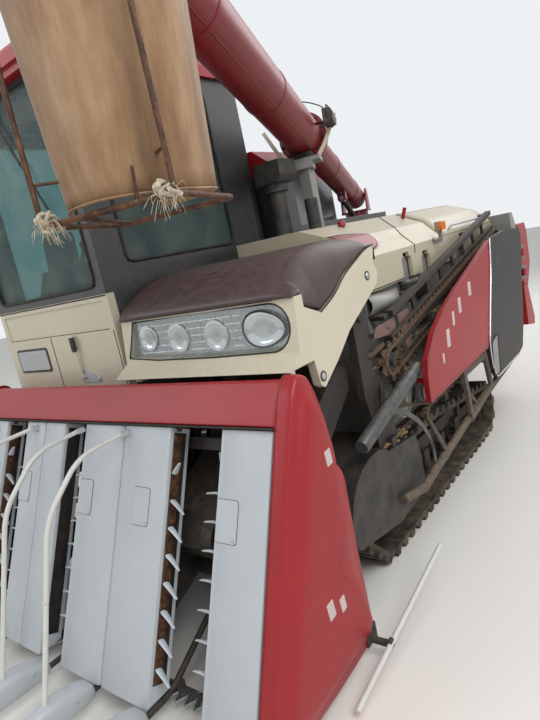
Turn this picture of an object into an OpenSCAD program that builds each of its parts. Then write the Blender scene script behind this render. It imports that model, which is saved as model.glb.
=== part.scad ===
// Five-row head-feed combine harvester on rubber tracks, at full size.
// The machine faces -Y, its left side is +X, and the ground is Z = 0. All sizes are in millimetres.

/* [Overall] */
// Half of the machine's overall width
half_w = 1100; // [1080:10:1140]
// Front reach of the divider noses from the origin
front_y = 2340; // [2300:10:2400]
// Rear reach of the straw cutter from the origin
rear_y = 2340; // [2300:10:2400]

/* [Tracks] */
// Distance of each track's middle from the machine's middle
track_x = 650; // [630:5:665]
// Width of the rubber track
track_w = 450; // [400:10:470]
// Thickness of the track's belt
belt_t = 24; // [18:1:30]
// Height of the track's lugs
lug_h = 30; // [20:1:36]
// Number of lugs round the track
lug_count = 50; // [44:1:56]
// Number of teeth on the drive sprocket
sprocket_teeth = 14; // [10:1:18]
// Radius of the bottom track rollers
roller_r = 72; // [60:1:80]

/* [Threshing side] */
// Outer face of the red and black side covers
side_x = 1060; // [1045:1:1080]
// Thickness of the side covers
side_t = 26; // [16:1:34]
// Height of the thresher cover's ridge
thresher_top = 1720; // [1680:10:1760]
// Pitch of the feed chain's teeth
chain_pitch = 62; // [56:1:70]
// Height of the feed chain's teeth
chain_tooth = 26; // [18:1:30]

/* [Cab] */
// Left wall of the cab, seen as its outer face
cab_left = -30; // [-60:5:-20]
// Width of the cab
cab_w = 1030; // [1000:10:1040]
// Length of the cab
cab_len = 1300; // [1250:10:1340]
// Outer face of the cab's front
cab_front = -1240; // [-1250:5:-1230]
// Bottom of the cab's windows
sill_z = 1620; // [1590:5:1660]
// Underside of the roof
roof_z = 2690; // [2650:5:2710]
// Thickness of the cab's walls and pillars
wall_t = 45; // [35:1:55]
// Thickness of the window glass
glass_t = 6; // [5:1:8]

/* [Grain tank and auger] */
// Top of the grain tank's grey body
tank_top = 2130; // [2080:10:2160]
// Outer radius of the unloading tube's rear section
tube_rear_r = 95; // [85:1:105]
// Outer radius of the unloading tube's front section
tube_front_r = 122; // [112:1:128]
// Wall of the unloading tube
tube_wall = 6; // [4:1:9]
// Rise of the unloading tube towards the front, in degrees
boom_rise = 11; // [10:0.5:12]

/* [Header] */
// Lean of the header's face from upright, in degrees
face_lean = 25; // [24:0.5:26]
// Width of each tine case
case_w = 292; // [280:2:300]
// Thickness of each tine case
case_t = 105; // [90:5:120]
// Length of each tine case
case_len = 1000; // [960:10:1010]
// Length of each tine past its case
tine_len = 84; // [70:2:88]
// Number of tines that show on each case
tine_count = 8; // [6:1:9]
// Radius of the divider rods
rod_r = 11; // [9:1:13]

/* [Hidden] */
$fn = 32;

red = "crimson";
cream = "antiquewhite";
grey = "lightsteelblue";
dark = "dimgray";
black = "#26262a";
steel = "silver";
rust = "sienna";
fit_gap = 0.3;

// A flat outline in (y, z), as thick as from x0 to x1
module side_plate(x0, x1, outline) {
    translate([x0, 0, 0]) rotate([90, 0, 90]) linear_extrude(x1 - x0) polygon(outline);
}

// A flat outline in (x, z), as thick as from y0 to y1
module front_plate(y0, y1, outline) {
    translate([0, y1, 0]) rotate([90, 0, 0]) linear_extrude(y1 - y0) polygon(outline);
}

// A box between two corners
module block(low, high) {
    translate(low) cube(high - low);
}

// A round bar from p to q
module along(d) {
    rotate([0, acos(d[2] / norm(d)), atan2(d[1], d[0])]) children();
}
module bar(p, q, r) {
    translate(p) along(q - p) cylinder(r = r, h = norm(q - p));
}

// A round bar through each point of a route. The ball at a bend has its poles inside the bars
bend_swell = 1.15;
module bent_bar(route, r) {
    for (i = [0 : len(route) - 2]) bar(route[i], route[i + 1], r);
    for (i = [1 : 1 : len(route) - 2]) translate(route[i]) along(route[i + 1] - route[i]) sphere(r * bend_swell);
}

// Points of an arc about c in a plane, from angle a0 to a1
function arc(c, r, a0, a1, steps = 6) =
    [for (i = [0 : steps]) let (a = a0 + (a1 - a0) * i / steps) c + r * [cos(a), sin(a)]];

// Belt paths. A path is a table of wheels, each as [y, z, radius], in anticlockwise order
function belt_normal(a, b) =
    let (d = [b[0] - a[0], b[1] - a[1]])
        atan2(d[1], d[0]) - acos((a[2] - b[2]) / norm(d));
function belt_next(wheels, i) = wheels[(i + 1) % len(wheels)];
function belt_last(wheels, i) = wheels[(i + len(wheels) - 1) % len(wheels)];
function belt_turn(wheels, i) =
    let (n0 = belt_normal(belt_last(wheels, i), wheels[i]), n1 = belt_normal(wheels[i], belt_next(wheels, i)))
        ((n1 - n0) % 360 + 360) % 360;
function belt_straight(wheels, i) =
    let (a = wheels[i], b = belt_next(wheels, i), d = norm([b[0] - a[0], b[1] - a[1]]))
        sqrt(d * d - (a[2] - b[2]) * (a[2] - b[2]));
function belt_arc(wheels, i) = wheels[i][2] * belt_turn(wheels, i) * PI / 180;
function belt_length(wheels, i = 0) =
    i == len(wheels) ? 0 : belt_arc(wheels, i) + belt_straight(wheels, i) + belt_length(wheels, i + 1);
// The point at length s along the path, moved out by off
function belt_point(wheels, s, off, i = 0) =
    let (
        w = wheels[i],
        n0 = belt_normal(belt_last(wheels, i), w),
        n1 = n0 + belt_turn(wheels, i),
        turn_len = belt_arc(wheels, i),
        run_len = belt_straight(wheels, i)
    )
    s <= turn_len
        ? let (a = n0 + s / w[2] * 180 / PI) [w[0], w[1]] + (w[2] + off) * [cos(a), sin(a)]
        : (s <= turn_len + run_len || i == len(wheels) - 1)
            ? [w[0], w[1]] + (w[2] + off) * [cos(n1), sin(n1)] + (s - turn_len) * [-sin(n1), cos(n1)]
            : belt_point(wheels, s - turn_len - run_len, off, i + 1);

// A smooth belt line, moved out by off
function belt_arcs(wheels, off, steps = 9) = [
    for (i = [0 : len(wheels) - 1])
        let (w = wheels[i], a0 = belt_normal(belt_last(wheels, i), w), turn = belt_turn(wheels, i))
            for (k = [0 : steps]) let (a = a0 + turn * k / steps) [w[0], w[1]] + (w[2] + off) * [cos(a), sin(a)]
];

// A belt with teeth on its outside, as one outline with a hole in it
module toothed_belt(wheels, count, thick, tooth_h, root_share, tip_share, phase = 0) {
    total = belt_length(wheels);
    pitch = total / count;
    shares = [[-root_share, 0], [-tip_share, tooth_h], [tip_share, tooth_h], [root_share, 0]];
    outer = [
        for (k = [0 : count - 1]) for (c = shares)
            belt_point(wheels, ((k + phase + c[0] + 1) * pitch) % total, thick + c[1])
    ];
    difference() {
        polygon(outer);
        polygon(belt_arcs(wheels, 0));
    }
}

// Tracks and undercarriage. Each wheel is [y, z, radius to the belt's inside]
ground_z = belt_t + lug_h;
sprocket_at = [-790, 385];
sprocket_r = 125;
return_at = [190, ground_z + 376];
return_r = 46;
idler_at = [1120, ground_z + 150];
idler_r = 150;
track_wheels = [
    [idler_at[0], idler_at[1], idler_r],
    [return_at[0], return_at[1], return_r],
    [sprocket_at[0], sprocket_at[1], sprocket_r],
    [-600, ground_z + roller_r, roller_r]
];
roller_ys = [for (i = [0 : 5]) -600 + i * 290];
beam_z = ground_z + 2 * roller_r + 10;

module track(x) {
    color(black) for (half = [0, 1])
        translate([x - track_w / 2 + half * track_w / 2, 0, 0])
            rotate([90, 0, 90])
                linear_extrude(track_w / 2)
                    toothed_belt(track_wheels, lug_count, belt_t, lug_h, 0.30, 0.19, half / 2);
}

module sprocket_wheel() {
    pitch = 360 / sprocket_teeth;
    outline = [
        for (k = [0 : sprocket_teeth - 1]) for (c = [[-0.32, 0], [-0.14, 22], [0.14, 22], [0.32, 0]])
            (sprocket_r - 26 + c[1]) * [cos((k + c[0]) * pitch), sin((k + c[0]) * pitch)]
    ];
    rotate([90, 0, 90]) translate([0, 0, -22]) linear_extrude(44) difference() {
        polygon(outline);
        for (k = [0 : 4]) rotate(k * 72) translate([72, 0]) circle(20);
    }
    rotate([0, 90, 0]) cylinder(r = 48, h = 120, center = true);
}

module undercarriage(side) {
    x = side * track_x;
    color(dark) {
        block([x - 50, -640, beam_z], [x + 50, 1010, beam_z + 90]);
        for (y = roller_ys) {
            translate([x, y, ground_z + roller_r]) rotate([0, 90, 0])
                cylinder(r = roller_r - 2.5, h = 60, center = true);
            translate([x, y, ground_z + roller_r]) rotate([0, 90, 0])
                cylinder(r = 26, h = 190, center = true);
            for (s = [-1, 1])
                block([x + s * 80 - 9, y - 36, ground_z + roller_r - 30], [x + s * 80 + 9, y + 36, beam_z + 20]);
            block([x - 89, y - 36, beam_z], [x + 89, y + 36, beam_z + 20]);
        }
        translate([x, idler_at[0], idler_at[1]]) rotate([0, 90, 0]) difference() {
            cylinder(r = idler_r - 2.5, h = 70, center = true);
            for (k = [0 : 5]) rotate(k * 60) translate([88, 0, 0]) cylinder(r = 26, h = 80, center = true);
        }
        translate([x, idler_at[0], idler_at[1]]) rotate([0, 90, 0]) cylinder(r = 40, h = 150, center = true);
        for (s = [-1, 1])
            block([x + s * 66 - 9, 960, idler_at[1] - 34], [x + s * 66 + 9, idler_at[0] + 34, idler_at[1] + 34]);
        block([x - 75, 930, idler_at[1] - 30], [x + 75, 985, beam_z + 90]);
        translate([x, return_at[0], return_at[1]]) rotate([0, 90, 0])
            cylinder(r = return_r - 2, h = 90, center = true);
        translate([x - side * 90, return_at[0], return_at[1]]) rotate([0, 90, 0])
            cylinder(r = 18, h = 120, center = true);
        block([x - side * 130 - 20, 150, beam_z + 80], [x - side * 130 + 20, 230, return_at[1] + 24]);
        block([min(x, x - side * 150), 150, beam_z + 20], [max(x, x - side * 150), 230, beam_z + 90]);
        translate([x, sprocket_at[0], sprocket_at[1]]) sprocket_wheel();
        for (y = [-330, 760])
            block(
                [min(x, side * rail_x + side * 40), y - 55, beam_z + 10],
                [max(x, side * rail_x + side * 40), y + 55, beam_z + 85]
            );
        for (y = [-330, 760])
            block(
                [side * rail_x + min(side * 40, side * 120), y - 55, beam_z + 10],
                [side * rail_x + max(side * 40, side * 120), y + 55, rail_low + 100]
            );
    }
}

// Chassis. The towing plate's bore is at the rear, the lashing eye is on the gearbox
tow_at = [0, 1830, 508];
tow_r = 20.3;
lash_at = [0, -1080, 450];
lash_r = 16.3;
rail_x = 300;
rail_low = 470;
rail_high = 590;
deck_low = 590;
deck_high = 620;

module chassis_frame() {
    color(black) {
        for (s = [-1, 1]) block([s * rail_x - 40, -640, rail_low], [s * rail_x + 40, 1720, rail_high]);
        for (y = [-640, -120, 560, 1240, 1640])
            block([-rail_x, y, rail_low + 10], [rail_x, y + 80, rail_high - 10]);
        block([-960, -640, deck_low], [900, 1720, deck_high]);
        for (y = [300, 1160]) block([-940, y, deck_low - 46], [900, y + 60, deck_low]);
        for (x = [lift_x0, lift_x1]) header_bracket(x);
        lift_lug();
        difference() {
            block([-60, 1700, 496], [60, tow_at[1] + 50, 520]);
            translate(tow_at) cylinder(r = tow_r, h = 60, center = true);
        }
        block([-960, -1130, deck_low], [-240, -640, deck_high]);
    }
}

// The front gearbox, cast with ribs, and its two axle housings
module gearbox() {
    color(black) {
        side_plate(-170, 170, [[-640, 300], [-640, 580], [-820, 580], [-1010, 500], [-1030, 400], [-930, 290]]);
        for (x = [-140, -70, 0, 70, 140])
            side_plate(x - 8, x + 8, [[-645, 285], [-645, 588], [-830, 588], [-1028, 508], [-1046, 395], [-935, 275]]);
        for (s = [-1, 1])
            bar([s * 160, sprocket_at[0], sprocket_at[1]], [s * (track_x - 60 - fit_gap), sprocket_at[0], sprocket_at[1]], 62);
        difference() {
            side_plate(-12, 12, [[-1010, 410], [-1080, 400], [-1120, 430], [-1120, 480], [-1080, 500], [-960, 500]]);
            translate(lash_at) rotate([0, 90, 0]) cylinder(r = lash_r, h = 60, center = true);
        }
        for (s = [-1, 1])
            side_plate(s * 320 - 20, s * 320 + 20, [[-880, 330], [-640, 330], [-640, 590], [-760, 590]]);
    }
}

// The engine stands in as one plain block
engine_low = [-930, -430, deck_high];
engine_high = [-350, 90, 1050];
module engine_block() {
    color(dark) block(engine_low, engine_high);
}

// Threshing side
thresher_x0 = 90;
thresher_x1 = 860;
thresher_y0 = -420;
thresher_y1 = rear_y - 600;
cutter_y = rear_y - 350;
thresher_side = [
    [thresher_y0, deck_high], [thresher_y1, deck_high], [thresher_y1 + 70, 900],
    [thresher_y1 + 30, 1470], [thresher_y0 + 20, 1470], [thresher_y0, 1430]
];
// Pulleys on the left side: [y, z, radius, width]
pulleys = [
    [-300, 760, 95, 34], [30, 700, 70, 34], [330, 790, 130, 40], [700, 700, 62, 34], [1050, 780, 105, 34],
    [-120, 860, 60, 30], [1450, 760, 80, 34]
];

module thresher_body() {
    color(grey) {
        side_plate(thresher_x0, thresher_x1, thresher_side);
        for (p = pulleys) {
            translate([thresher_x1, p[0], p[1]]) rotate([0, 90, 0]) difference() {
                cylinder(r = p[2], h = 24 + p[3]);
                translate([0, 0, 24 + p[3] / 2]) rotate_extrude() translate([p[2], 0]) circle(p[3] / 3, $fn = 4);
                translate([0, 0, 20 + p[3]]) difference() {
                    cylinder(r = p[2] - 16, h = 10);
                    cylinder(r = 24, h = 10);
                }
            }
            translate([thresher_x1, p[0], p[1]]) rotate([0, 90, 0]) cylinder(r = 14, h = 44 + p[3]);
        }
        side_plate(70, 1030, [
            [thresher_y1 + 10, 1000], [thresher_y1 + 10, 1330], [thresher_y1 + 66, 1345], [thresher_y1 + 66, 1560],
            [cutter_y - 110, 1560], [cutter_y - 35, 1440], [cutter_y - 35, 1000]
        ]);
        side_plate(-160, 72, [
            [cutter_y - 160, 1000], [cutter_y - 160, 1560], [cutter_y - 110, 1560], [cutter_y - 35, 1440],
            [cutter_y - 35, 1000]
        ]);
        for (x = [100, 480, 800]) block([x, thresher_y1 - 30, deck_high], [x + 60, cutter_y - 90, 1010]);
        for (z = cutter_hinge_zs) hinge_fixed([cutter_hinge[0], cutter_hinge[1], z], 180, 0);
    }
}

// The cream cover over the threshing drum, as a shell with a notched skirt
cover_t = 22;
skirt_x = 890;
cover_y0 = -400;
cover_y1 = thresher_y1 + 60;
cover_outside = [
    [skirt_x, 1352], [skirt_x, 1520], [770, 1632], [540, thresher_top], [110, thresher_top], [110, 1470]
];
cover_inside = [
    [110 + cover_t, 1470], [110 + cover_t, thresher_top - cover_t], [534, thresher_top - cover_t],
    [758, 1612], [skirt_x - cover_t, 1511], [skirt_x - cover_t, 1352]
];
// Notches in the skirt: [start, end, top]
skirt_notches = [[20, 150, 1492], [300, 430, 1470], [900, 1060, 1450], [1580, 1700, 1460]];

module thresher_cover() {
    color(cream) {
        difference() {
            front_plate(cover_y0, cover_y1, concat(cover_outside, cover_inside));
            for (n = skirt_notches) {
                block([skirt_x - 60, n[0], 1300], [skirt_x + 20, n[1], n[2] - 25]);
                block([skirt_x - 60, n[0] + 25, 1300], [skirt_x + 20, n[1] - 25, n[2]]);
            }
        }
        front_plate(cover_y0, cover_y0 + 20, [
            [120, 1470], [860, 1470], [875, 1514], [762, 1620], [536, thresher_top - 10], [120, thresher_top - 10]
        ]);
        front_plate(cover_y1 - 20, cover_y1, [
            [120, 1560], [835, 1560], [762, 1620], [536, thresher_top - 10], [120, thresher_top - 10]
        ]);
    }
}

// Feed chain, with its two sprockets and the guide that carries it
chain_x = 945;
chain_w = 30;
chain_front = [-430, 1005];
chain_rear = [1640, 1400];
chain_wheel_r = 52;
chain_seat = chain_wheel_r - 1.5;
chain_t = 20;
chain_wheels = [
    [chain_rear[0], chain_rear[1], chain_wheel_r], [chain_front[0], chain_front[1], chain_wheel_r]
];
chain_rise = atan2(chain_rear[1] - chain_front[1], chain_rear[0] - chain_front[0]);
chain_run = norm(chain_rear - chain_front);

module feed_chain() {
    count = round(belt_length(chain_wheels) / chain_pitch);
    color(rust) {
        translate([chain_x - 6, 0, 0]) rotate([90, 0, 90]) linear_extrude(12)
            toothed_belt(chain_wheels, count, chain_t, chain_tooth, 0.30, 0.10);
        for (x = [chain_x - chain_w / 2, chain_x + 5])
            translate([x, 0, 0]) rotate([90, 0, 90]) linear_extrude(chain_w / 2 - 5) difference() {
                polygon(belt_arcs(chain_wheels, chain_t - 3));
                polygon(belt_arcs(chain_wheels, 3));
            }
    }
}

// Stretches along the chain: a frame whose +Y runs up the chain from its front wheel
module along_chain() {
    translate([0, chain_front[0], chain_front[1]]) rotate([chain_rise, 0, 0]) children();
}

module feed_rail() {
    hold = chain_wheel_r + chain_t + chain_tooth + 4;
    color(dark) {
        for (c = [chain_front, chain_rear]) {
            translate([chain_x, c[0], c[1]]) rotate([0, 90, 0])
                cylinder(r = chain_seat, h = 10, center = true);
            bar([thresher_x1, c[0], c[1]], [chain_x + 24, c[0], c[1]], 18);
        }
        side_plate(thresher_x1, thresher_x1 + 20, [
            [chain_front[0] - 40, 960], [chain_front[0] + 200, 960], [chain_front[0] + 200, 1060],
            [chain_front[0] - 40, 1060]
        ]);
        along_chain() {
            block([chain_x - 9, 90, chain_seat - 28], [chain_x + 9, chain_run - 90, chain_seat]);
            block([chain_x - 9, 90, -chain_seat], [chain_x + 9, chain_run - 90, -chain_seat + 24]);
            for (s = [160 : 400 : chain_run - 100]) {
                block([chain_x - 9, s, -chain_seat], [chain_x + 9, s + 40, chain_seat]);
                block([thresher_x1, s, -40], [chain_x, s + 40, -16]);
            }
            block([chain_x - 16, 60, hold], [chain_x + 16, chain_run - 40, hold + 14]);
            block([chain_x - 20, 120, hold + 92], [chain_x + 20, chain_run - 60, hold + 122]);
            for (s = [180 : 235 : chain_run - 120])
                translate([chain_x, s, hold + 10]) cylinder(r = 11, h = 90);
            for (s = [60, 380]) block([thresher_x1, s, hold + 96], [chain_x, s + 44, hold + 118]);
            for (s = [1500, 1960]) block([skirt_x, s, hold + 96], [chain_x, s + 44, hold + 118]);
        }
    }
}

// Outer covers on the left side
module side_cover_red() {
    outline = [
        [-288, 742], [-282, 880], [-248, 962], [-120, 1068], [60, 1148], [300, 1222], [700, 1325], [1067, 1425],
        [1000, 1215], [880, 985], [770, 762]
    ];
    color(red) {
        side_plate(side_x - side_t, side_x, outline);
        for (p = [[-220, 840], [620, 1040], [560, 830]])
            bar([thresher_x1, p[0], p[1]], [side_x - side_t + 2, p[0], p[1]], 13);
    }
}

module side_cover_rear() {
    outline = [
        [1085, 1430], [1500, 1452], [1900, 1430], [1940, 1380], [1700, 700], [1600, 545], [1480, 520],
        [860, 520], [800, 600], [788, 762], [898, 985], [1018, 1215]
    ];
    color(black) {
        side_plate(side_x - side_t, side_x, outline);
        for (p = [[940, 680], [1560, 640], [1300, 1180]])
            bar([thresher_x1, p[0], p[1]], [side_x - side_t + 2, p[0], p[1]], 13);
        block([thresher_x1, 1640, 900], [side_x - side_t, 1672, 960]);
    }
}

// Long side rail with its stays, and the beige frame above it
guard_route = [
    [1000, -640, 372], [1010, -420, 330], [1015, -120, 372], [1015, 500, 440], [1015, 1560, 505]
];
module side_guard() {
    color(dark) {
        bent_bar(guard_route, 22);
        for (y = [-80, 520, 1180]) {
            block([900, y - 20, deck_low + 2], [944, y + 20, deck_high - 2]);
            bar([926, y, deck_low + 10], [1015, y, 380 + (y + 120) * 0.1], 14);
        }
        bar([995, -900, 770], [995, -240, 925], 27);
        block([thresher_x1, -290, 872], [995, -215, 915]);
    }
    color(cream) difference() {
        side_plate(1018, 1040, [[330, 400], [830, 470], [770, 730], [300, 730]]);
        side_plate(1010, 1050, [[372, 445], [775, 498], [728, 692], [345, 692]]);
    }
}

module track_fender() {
    hood = concat(
        arc(sprocket_at, 262, 178, 64, 7), [[-640, deck_low], [-640, deck_high]], arc(sprocket_at, 288, 64, 178, 7)
    );
    skirt = concat(
        arc(sprocket_at, 288, 178, 64, 7), [[-640, deck_high], [-330, 585], [-300, 455], [-300, 300], [-420, 262],
        [-640, 250], [-1040, 330]]
    );
    color(black) {
        side_plate(420, 950, hood);
        side_plate(950, 966, skirt);
        block([920, -560, deck_low], [950, -500, deck_high + 30]);
    }
}

// Grain tank with its hopper bottom and the fixed part of the unloading pipe
tank_x0 = -1080;
tank_x1 = 60;
tank_y0 = 130;
tank_y1 = 1725;
turret_at = [-330, 1950];
turret_r = 104;
turret_z = 1700;

// Outline in (x, y) of the tank's upper part, cut away along the unloading tube
tank_plan = [
    [tank_x0, tank_y0], [tank_x1, tank_y0], [tank_x1, 380], [-420, tank_y1], [tank_x0, tank_y1]
];
tank_shoulder = 1780;

module grain_tank() {
    hopper = [
        [tank_x1, tank_shoulder], [tank_x1, 1180], [-200, 720], [-200, deck_high], [-460, deck_high], [-460, 720],
        [tank_x0, 1080], [tank_x0, tank_shoulder]
    ];
    color(dark) {
        front_plate(tank_y0, tank_y1, hopper);
        translate([0, 0, tank_shoulder - 1]) linear_extrude(tank_top - tank_shoulder + 1) polygon(tank_plan);
        for (y = [500, 920, 1340])
            front_plate(y, y + 46, [
                [tank_x0 + 8, tank_top], [tank_x0 - 12, tank_top], [tank_x0 - 12, 1090], [tank_x0 + 8, 1070]
            ]);
        translate([turret_at[0], turret_at[1], 700]) cylinder(r = turret_r, h = turret_z - 700);
        translate([turret_at[0], turret_at[1], turret_z - 40]) cylinder(r = turret_r + 34, h = 40);
        block([turret_at[0] - 90, tank_y1 - 4, 690], [turret_at[0] + 90, turret_at[1], 900]);
        block([turret_at[0] - 60, tank_y1 - 4, 1500], [turret_at[0] + 60, turret_at[1] - 40, 1560]);
        block([-1086, 104, 560], [-1040, 192, 1140]);
        for (z = screen_hinge_zs) hinge_fixed([screen_hinge[0], screen_hinge[1], z], 0, 0);
        for (y = [tank_y0 + 60, tank_y1 - 180]) {
            block([tank_x0, y, deck_low - 60], [tank_x0 + 60, y + 60, 1140]);
            block([tank_x0, y, deck_low - 60], [-900, y + 60, deck_low]);
        }
    }
}

module tank_lid() {
    rise = 160;
    color(red) intersection() {
        front_plate(tank_y0, tank_y1, [
            [tank_x0, tank_top], [tank_x1, tank_top], [tank_x1, tank_top + rise * 0.45],
            [tank_x1 - 110, tank_top + rise], [tank_x0 + 110, tank_top + rise], [tank_x0, tank_top + rise * 0.45]
        ]);
        translate([0, 0, tank_top - 5]) linear_extrude(rise + 10) polygon(tank_plan);
    }
}

// Air intake: a dusty cleaner box on a pipe, beside the cab
module intake() {
    color(dark) {
        translate([150, 40, thresher_top]) cylinder(r = 56, h = 322);
        translate([150, 40, 1990]) cylinder(r = 76, h = 52);
        front_plate(-50, 130, [[70, 2040], [240, 2040], [262, 2080], [262, 2165], [86, 2165], [70, 2130]]);
        translate([330, 120, thresher_top]) cylinder(r = 40, h = 190);
    }
}

// Post and cradle that the unloading tube rests on
boom_turn = 19;
boom_dir = [sin(boom_turn) * cos(boom_rise), -cos(boom_turn) * cos(boom_rise), sin(boom_rise)];
boom_base = [turret_at[0], turret_at[1], 1975];
boom_len = 3900;
tube_join = 1720;
cradle_s = 1820;
// Its pad lies lower than the clamped joint of the tube's two halves, which is deeper than the tube
cradle_drop = tube_front_r + 40;
function boom_point(s) = boom_base + s * boom_dir;

module on_boom() {
    translate(boom_base) rotate([0, 0, boom_turn - 90]) rotate([0, -boom_rise, 0]) children();
}

module auger_post() {
    seat_at = boom_point(cradle_s);
    color(grey) {
        block([seat_at[0] - 38, seat_at[1] - 34, thresher_top], [seat_at[0] + 38, seat_at[1] + 34, seat_at[2] - 206]);
        block([seat_at[0] - 90, seat_at[1] - 80, thresher_top], [seat_at[0] + 90, seat_at[1] + 80, thresher_top + 12]);
    }
    color(black) on_boom() {
        translate([cradle_s - 70, -108, -cradle_drop - 26]) cube([84, 216, 26]);
        translate([cradle_s - 50, -60, -cradle_drop - 66]) cube([66, 120, 42]);
    }
}

// A hinge knuckle with its leaf. Local +X points at the wall, and the leaf runs along local +Y
knuckle_r = 16;
hinge_pin_r = 8;
knuckle_h = 56;
module knuckle(h) {
    cylinder(r = knuckle_r, h = h);
    translate([4, 0, 0]) cube([knuckle_r, 52, h]);
}
// The moving half, and the fixed half with its pin, of a hinge whose middle is at `at`
module hinge_moving(at, turn, side) {
    translate([at[0], at[1], at[2] - knuckle_h / 2]) rotate(turn) mirror([0, side, 0]) difference() {
        knuckle(knuckle_h);
        translate([0, 0, -1]) cylinder(r = hinge_pin_r + fit_gap, h = knuckle_h + 2);
    }
}
module hinge_fixed(at, turn, side) {
    for (z = [-knuckle_h / 2 - 26, knuckle_h / 2 + 2])
        translate([at[0], at[1], at[2] + z]) rotate(turn) mirror([0, side, 0]) knuckle(24);
    translate([at[0], at[1], at[2] - knuckle_h / 2 - 26]) cylinder(r = hinge_pin_r, h = knuckle_h + 52);
}

// Cab
cab_x0 = cab_left - cab_w;
cab_x1 = cab_left;
cab_rear = cab_front + cab_len;
floor_low = 1090;
floor_high = 1140;
door_front = -1160;
door_rear = -250;
door_gap = 8;
door_low = 1150;
door_high = 2630;
door_hinge = [cab_x0 - knuckle_r, door_rear];
door_hinge_zs = [1330, 2440];
panel_low = 950;
// Windows, each as [low, high] along its wall and [low, high] in z
side_window = [[-1070, -240], [1745, 2620]];
front_window = [[cab_x0 + 62, cab_x1 - 62], [sill_z + 40, 2640]];
rear_window = [[cab_x0 + 150, cab_x1 - 150], [2340, 2620]];
door_window = [[door_front + 80, door_rear - 80], [1560, 2560]];

module cab_floor() {
    color(dark) {
        block([cab_x0, cab_front + wall_t, floor_low], [cab_x1, cab_rear, floor_high]);
        block([-960, -1160, deck_high], [-900, -1100, floor_low]);
        block([-300, -1040, deck_high], [-240, -980, floor_low]);
        block([-300, cab_rear - 80, deck_high], [-240, cab_rear - 20, floor_low]);
        block([-900, -1150, floor_low - 60], [-300, -1100, floor_low]);
        block([-640, -760, deck_high], [-580, -700, floor_low]);
    }
}

module cab_front_panel() {
    color(cream) {
        difference() {
            block([cab_x0, cab_front, panel_low], [cab_x1, cab_front + wall_t, sill_z]);
            block([cab_x0 + 40, cab_front - 1, 1450], [cab_x1 - 40, cab_front + 6, 1590]);
        }
        block([cab_x1 - wall_t, cab_front + wall_t, panel_low], [cab_x1, -1060, floor_low]);
        block([-908, cab_front - 5, 1306], [-850, cab_front, 1360]);
    }
    color(black) {
        bar([-380, cab_front + 2, 1225], [-380, cab_front - 20, 1225], 12);
        bar([-380, cab_front - 14, 1218], [-380, cab_front - 20, 1436], 8);
        translate([-380, cab_front - 20, 1436]) sphere(13);
    }
}

module cab_frame() {
    color(dark) {
        difference() {
            block([cab_x0, cab_front, floor_high], [cab_x1, cab_rear, roof_z]);
            block([cab_x0 + wall_t, cab_front + wall_t, floor_high - 1], [cab_x1 - wall_t, cab_rear - wall_t, roof_z + 1]);
            block([cab_x0 - 1, cab_front - 1, floor_high - 1], [cab_x1 + 1, cab_front + wall_t, sill_z]);
            block(
                [cab_x1 - wall_t - 1, side_window[0][0], side_window[1][0]],
                [cab_x1 + 1, side_window[0][1], side_window[1][1]]
            );
            block(
                [front_window[0][0], cab_front - 1, front_window[1][0]],
                [front_window[0][1], cab_front + wall_t + 1, front_window[1][1]]
            );
            block(
                [rear_window[0][0], cab_rear - wall_t - 1, rear_window[1][0]],
                [rear_window[0][1], cab_rear + 1, rear_window[1][1]]
            );
            block([cab_x0 - 1, door_front, floor_high - 1], [cab_x0 + wall_t + 1, door_rear + door_gap, door_high + door_gap]);
        }
        for (z = door_hinge_zs) hinge_fixed([door_hinge[0], door_hinge[1], z], 0, 0);
    }
}

module cab_roof() {
    edge = 46;
    y0 = cab_front - 70;
    y1 = cab_rear + 38;
    x0 = cab_x0 - 28;
    x1 = cab_x1 + 24;
    color(red) intersection() {
        side_plate(x0, x1, [
            [y0, roof_z], [y1, roof_z], [y1, roof_z + 60], [y1 - edge, roof_z + 108], [y0 + 120, roof_z + 112],
            [y0 + 30, roof_z + 84], [y0, roof_z + 50]
        ]);
        front_plate(y0 - 1, y1 + 1, [
            [x0, roof_z - 1], [x1, roof_z - 1], [x1, roof_z + 62], [x1 - edge, roof_z + 113], [x0 + edge, roof_z + 113],
            [x0, roof_z + 62]
        ]);
    }
    color(black) block([cab_x0 + 12, cab_front - 52, roof_z - 34], [cab_x1 - 12, cab_front, roof_z]);
}

module cab_glass() {
    inset = 16;
    color("lightblue", 0.4) {
        block(
            [cab_x1 - inset - glass_t, side_window[0][0], side_window[1][0]],
            [cab_x1 - inset, side_window[0][1], side_window[1][1]]
        );
        block(
            [front_window[0][0], cab_front + inset, front_window[1][0]],
            [front_window[0][1], cab_front + inset + glass_t, front_window[1][1]]
        );
        block(
            [rear_window[0][0], cab_rear - inset - glass_t, rear_window[1][0]],
            [rear_window[0][1], cab_rear - inset, rear_window[1][1]]
        );
    }
}

module door_frame() {
    color(dark) {
        difference() {
            block([cab_x0, door_front + door_gap, door_low], [cab_x0 + wall_t, door_rear, door_high]);
            block(
                [cab_x0 - 1, door_window[0][0], door_window[1][0]],
                [cab_x0 + wall_t + 1, door_window[0][1], door_window[1][1]]
            );
        }
        for (z = door_hinge_zs) hinge_moving([door_hinge[0], door_hinge[1], z], 0, 1);
        block([cab_x0 - 30, door_front + 40, 1440], [cab_x0 - 18, door_front + 62, 1560]);
        for (z = [1444, 1544]) block([cab_x0 - 30, door_front + 40, z], [cab_x0 + 2, door_front + 62, z + 12]);
    }
}

module door_glass() {
    color("lightblue", 0.4) block(
        [cab_x0 + 16, door_window[0][0], door_window[1][0]],
        [cab_x0 + 16 + glass_t, door_window[0][1], door_window[1][1]]
    );
}

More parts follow.
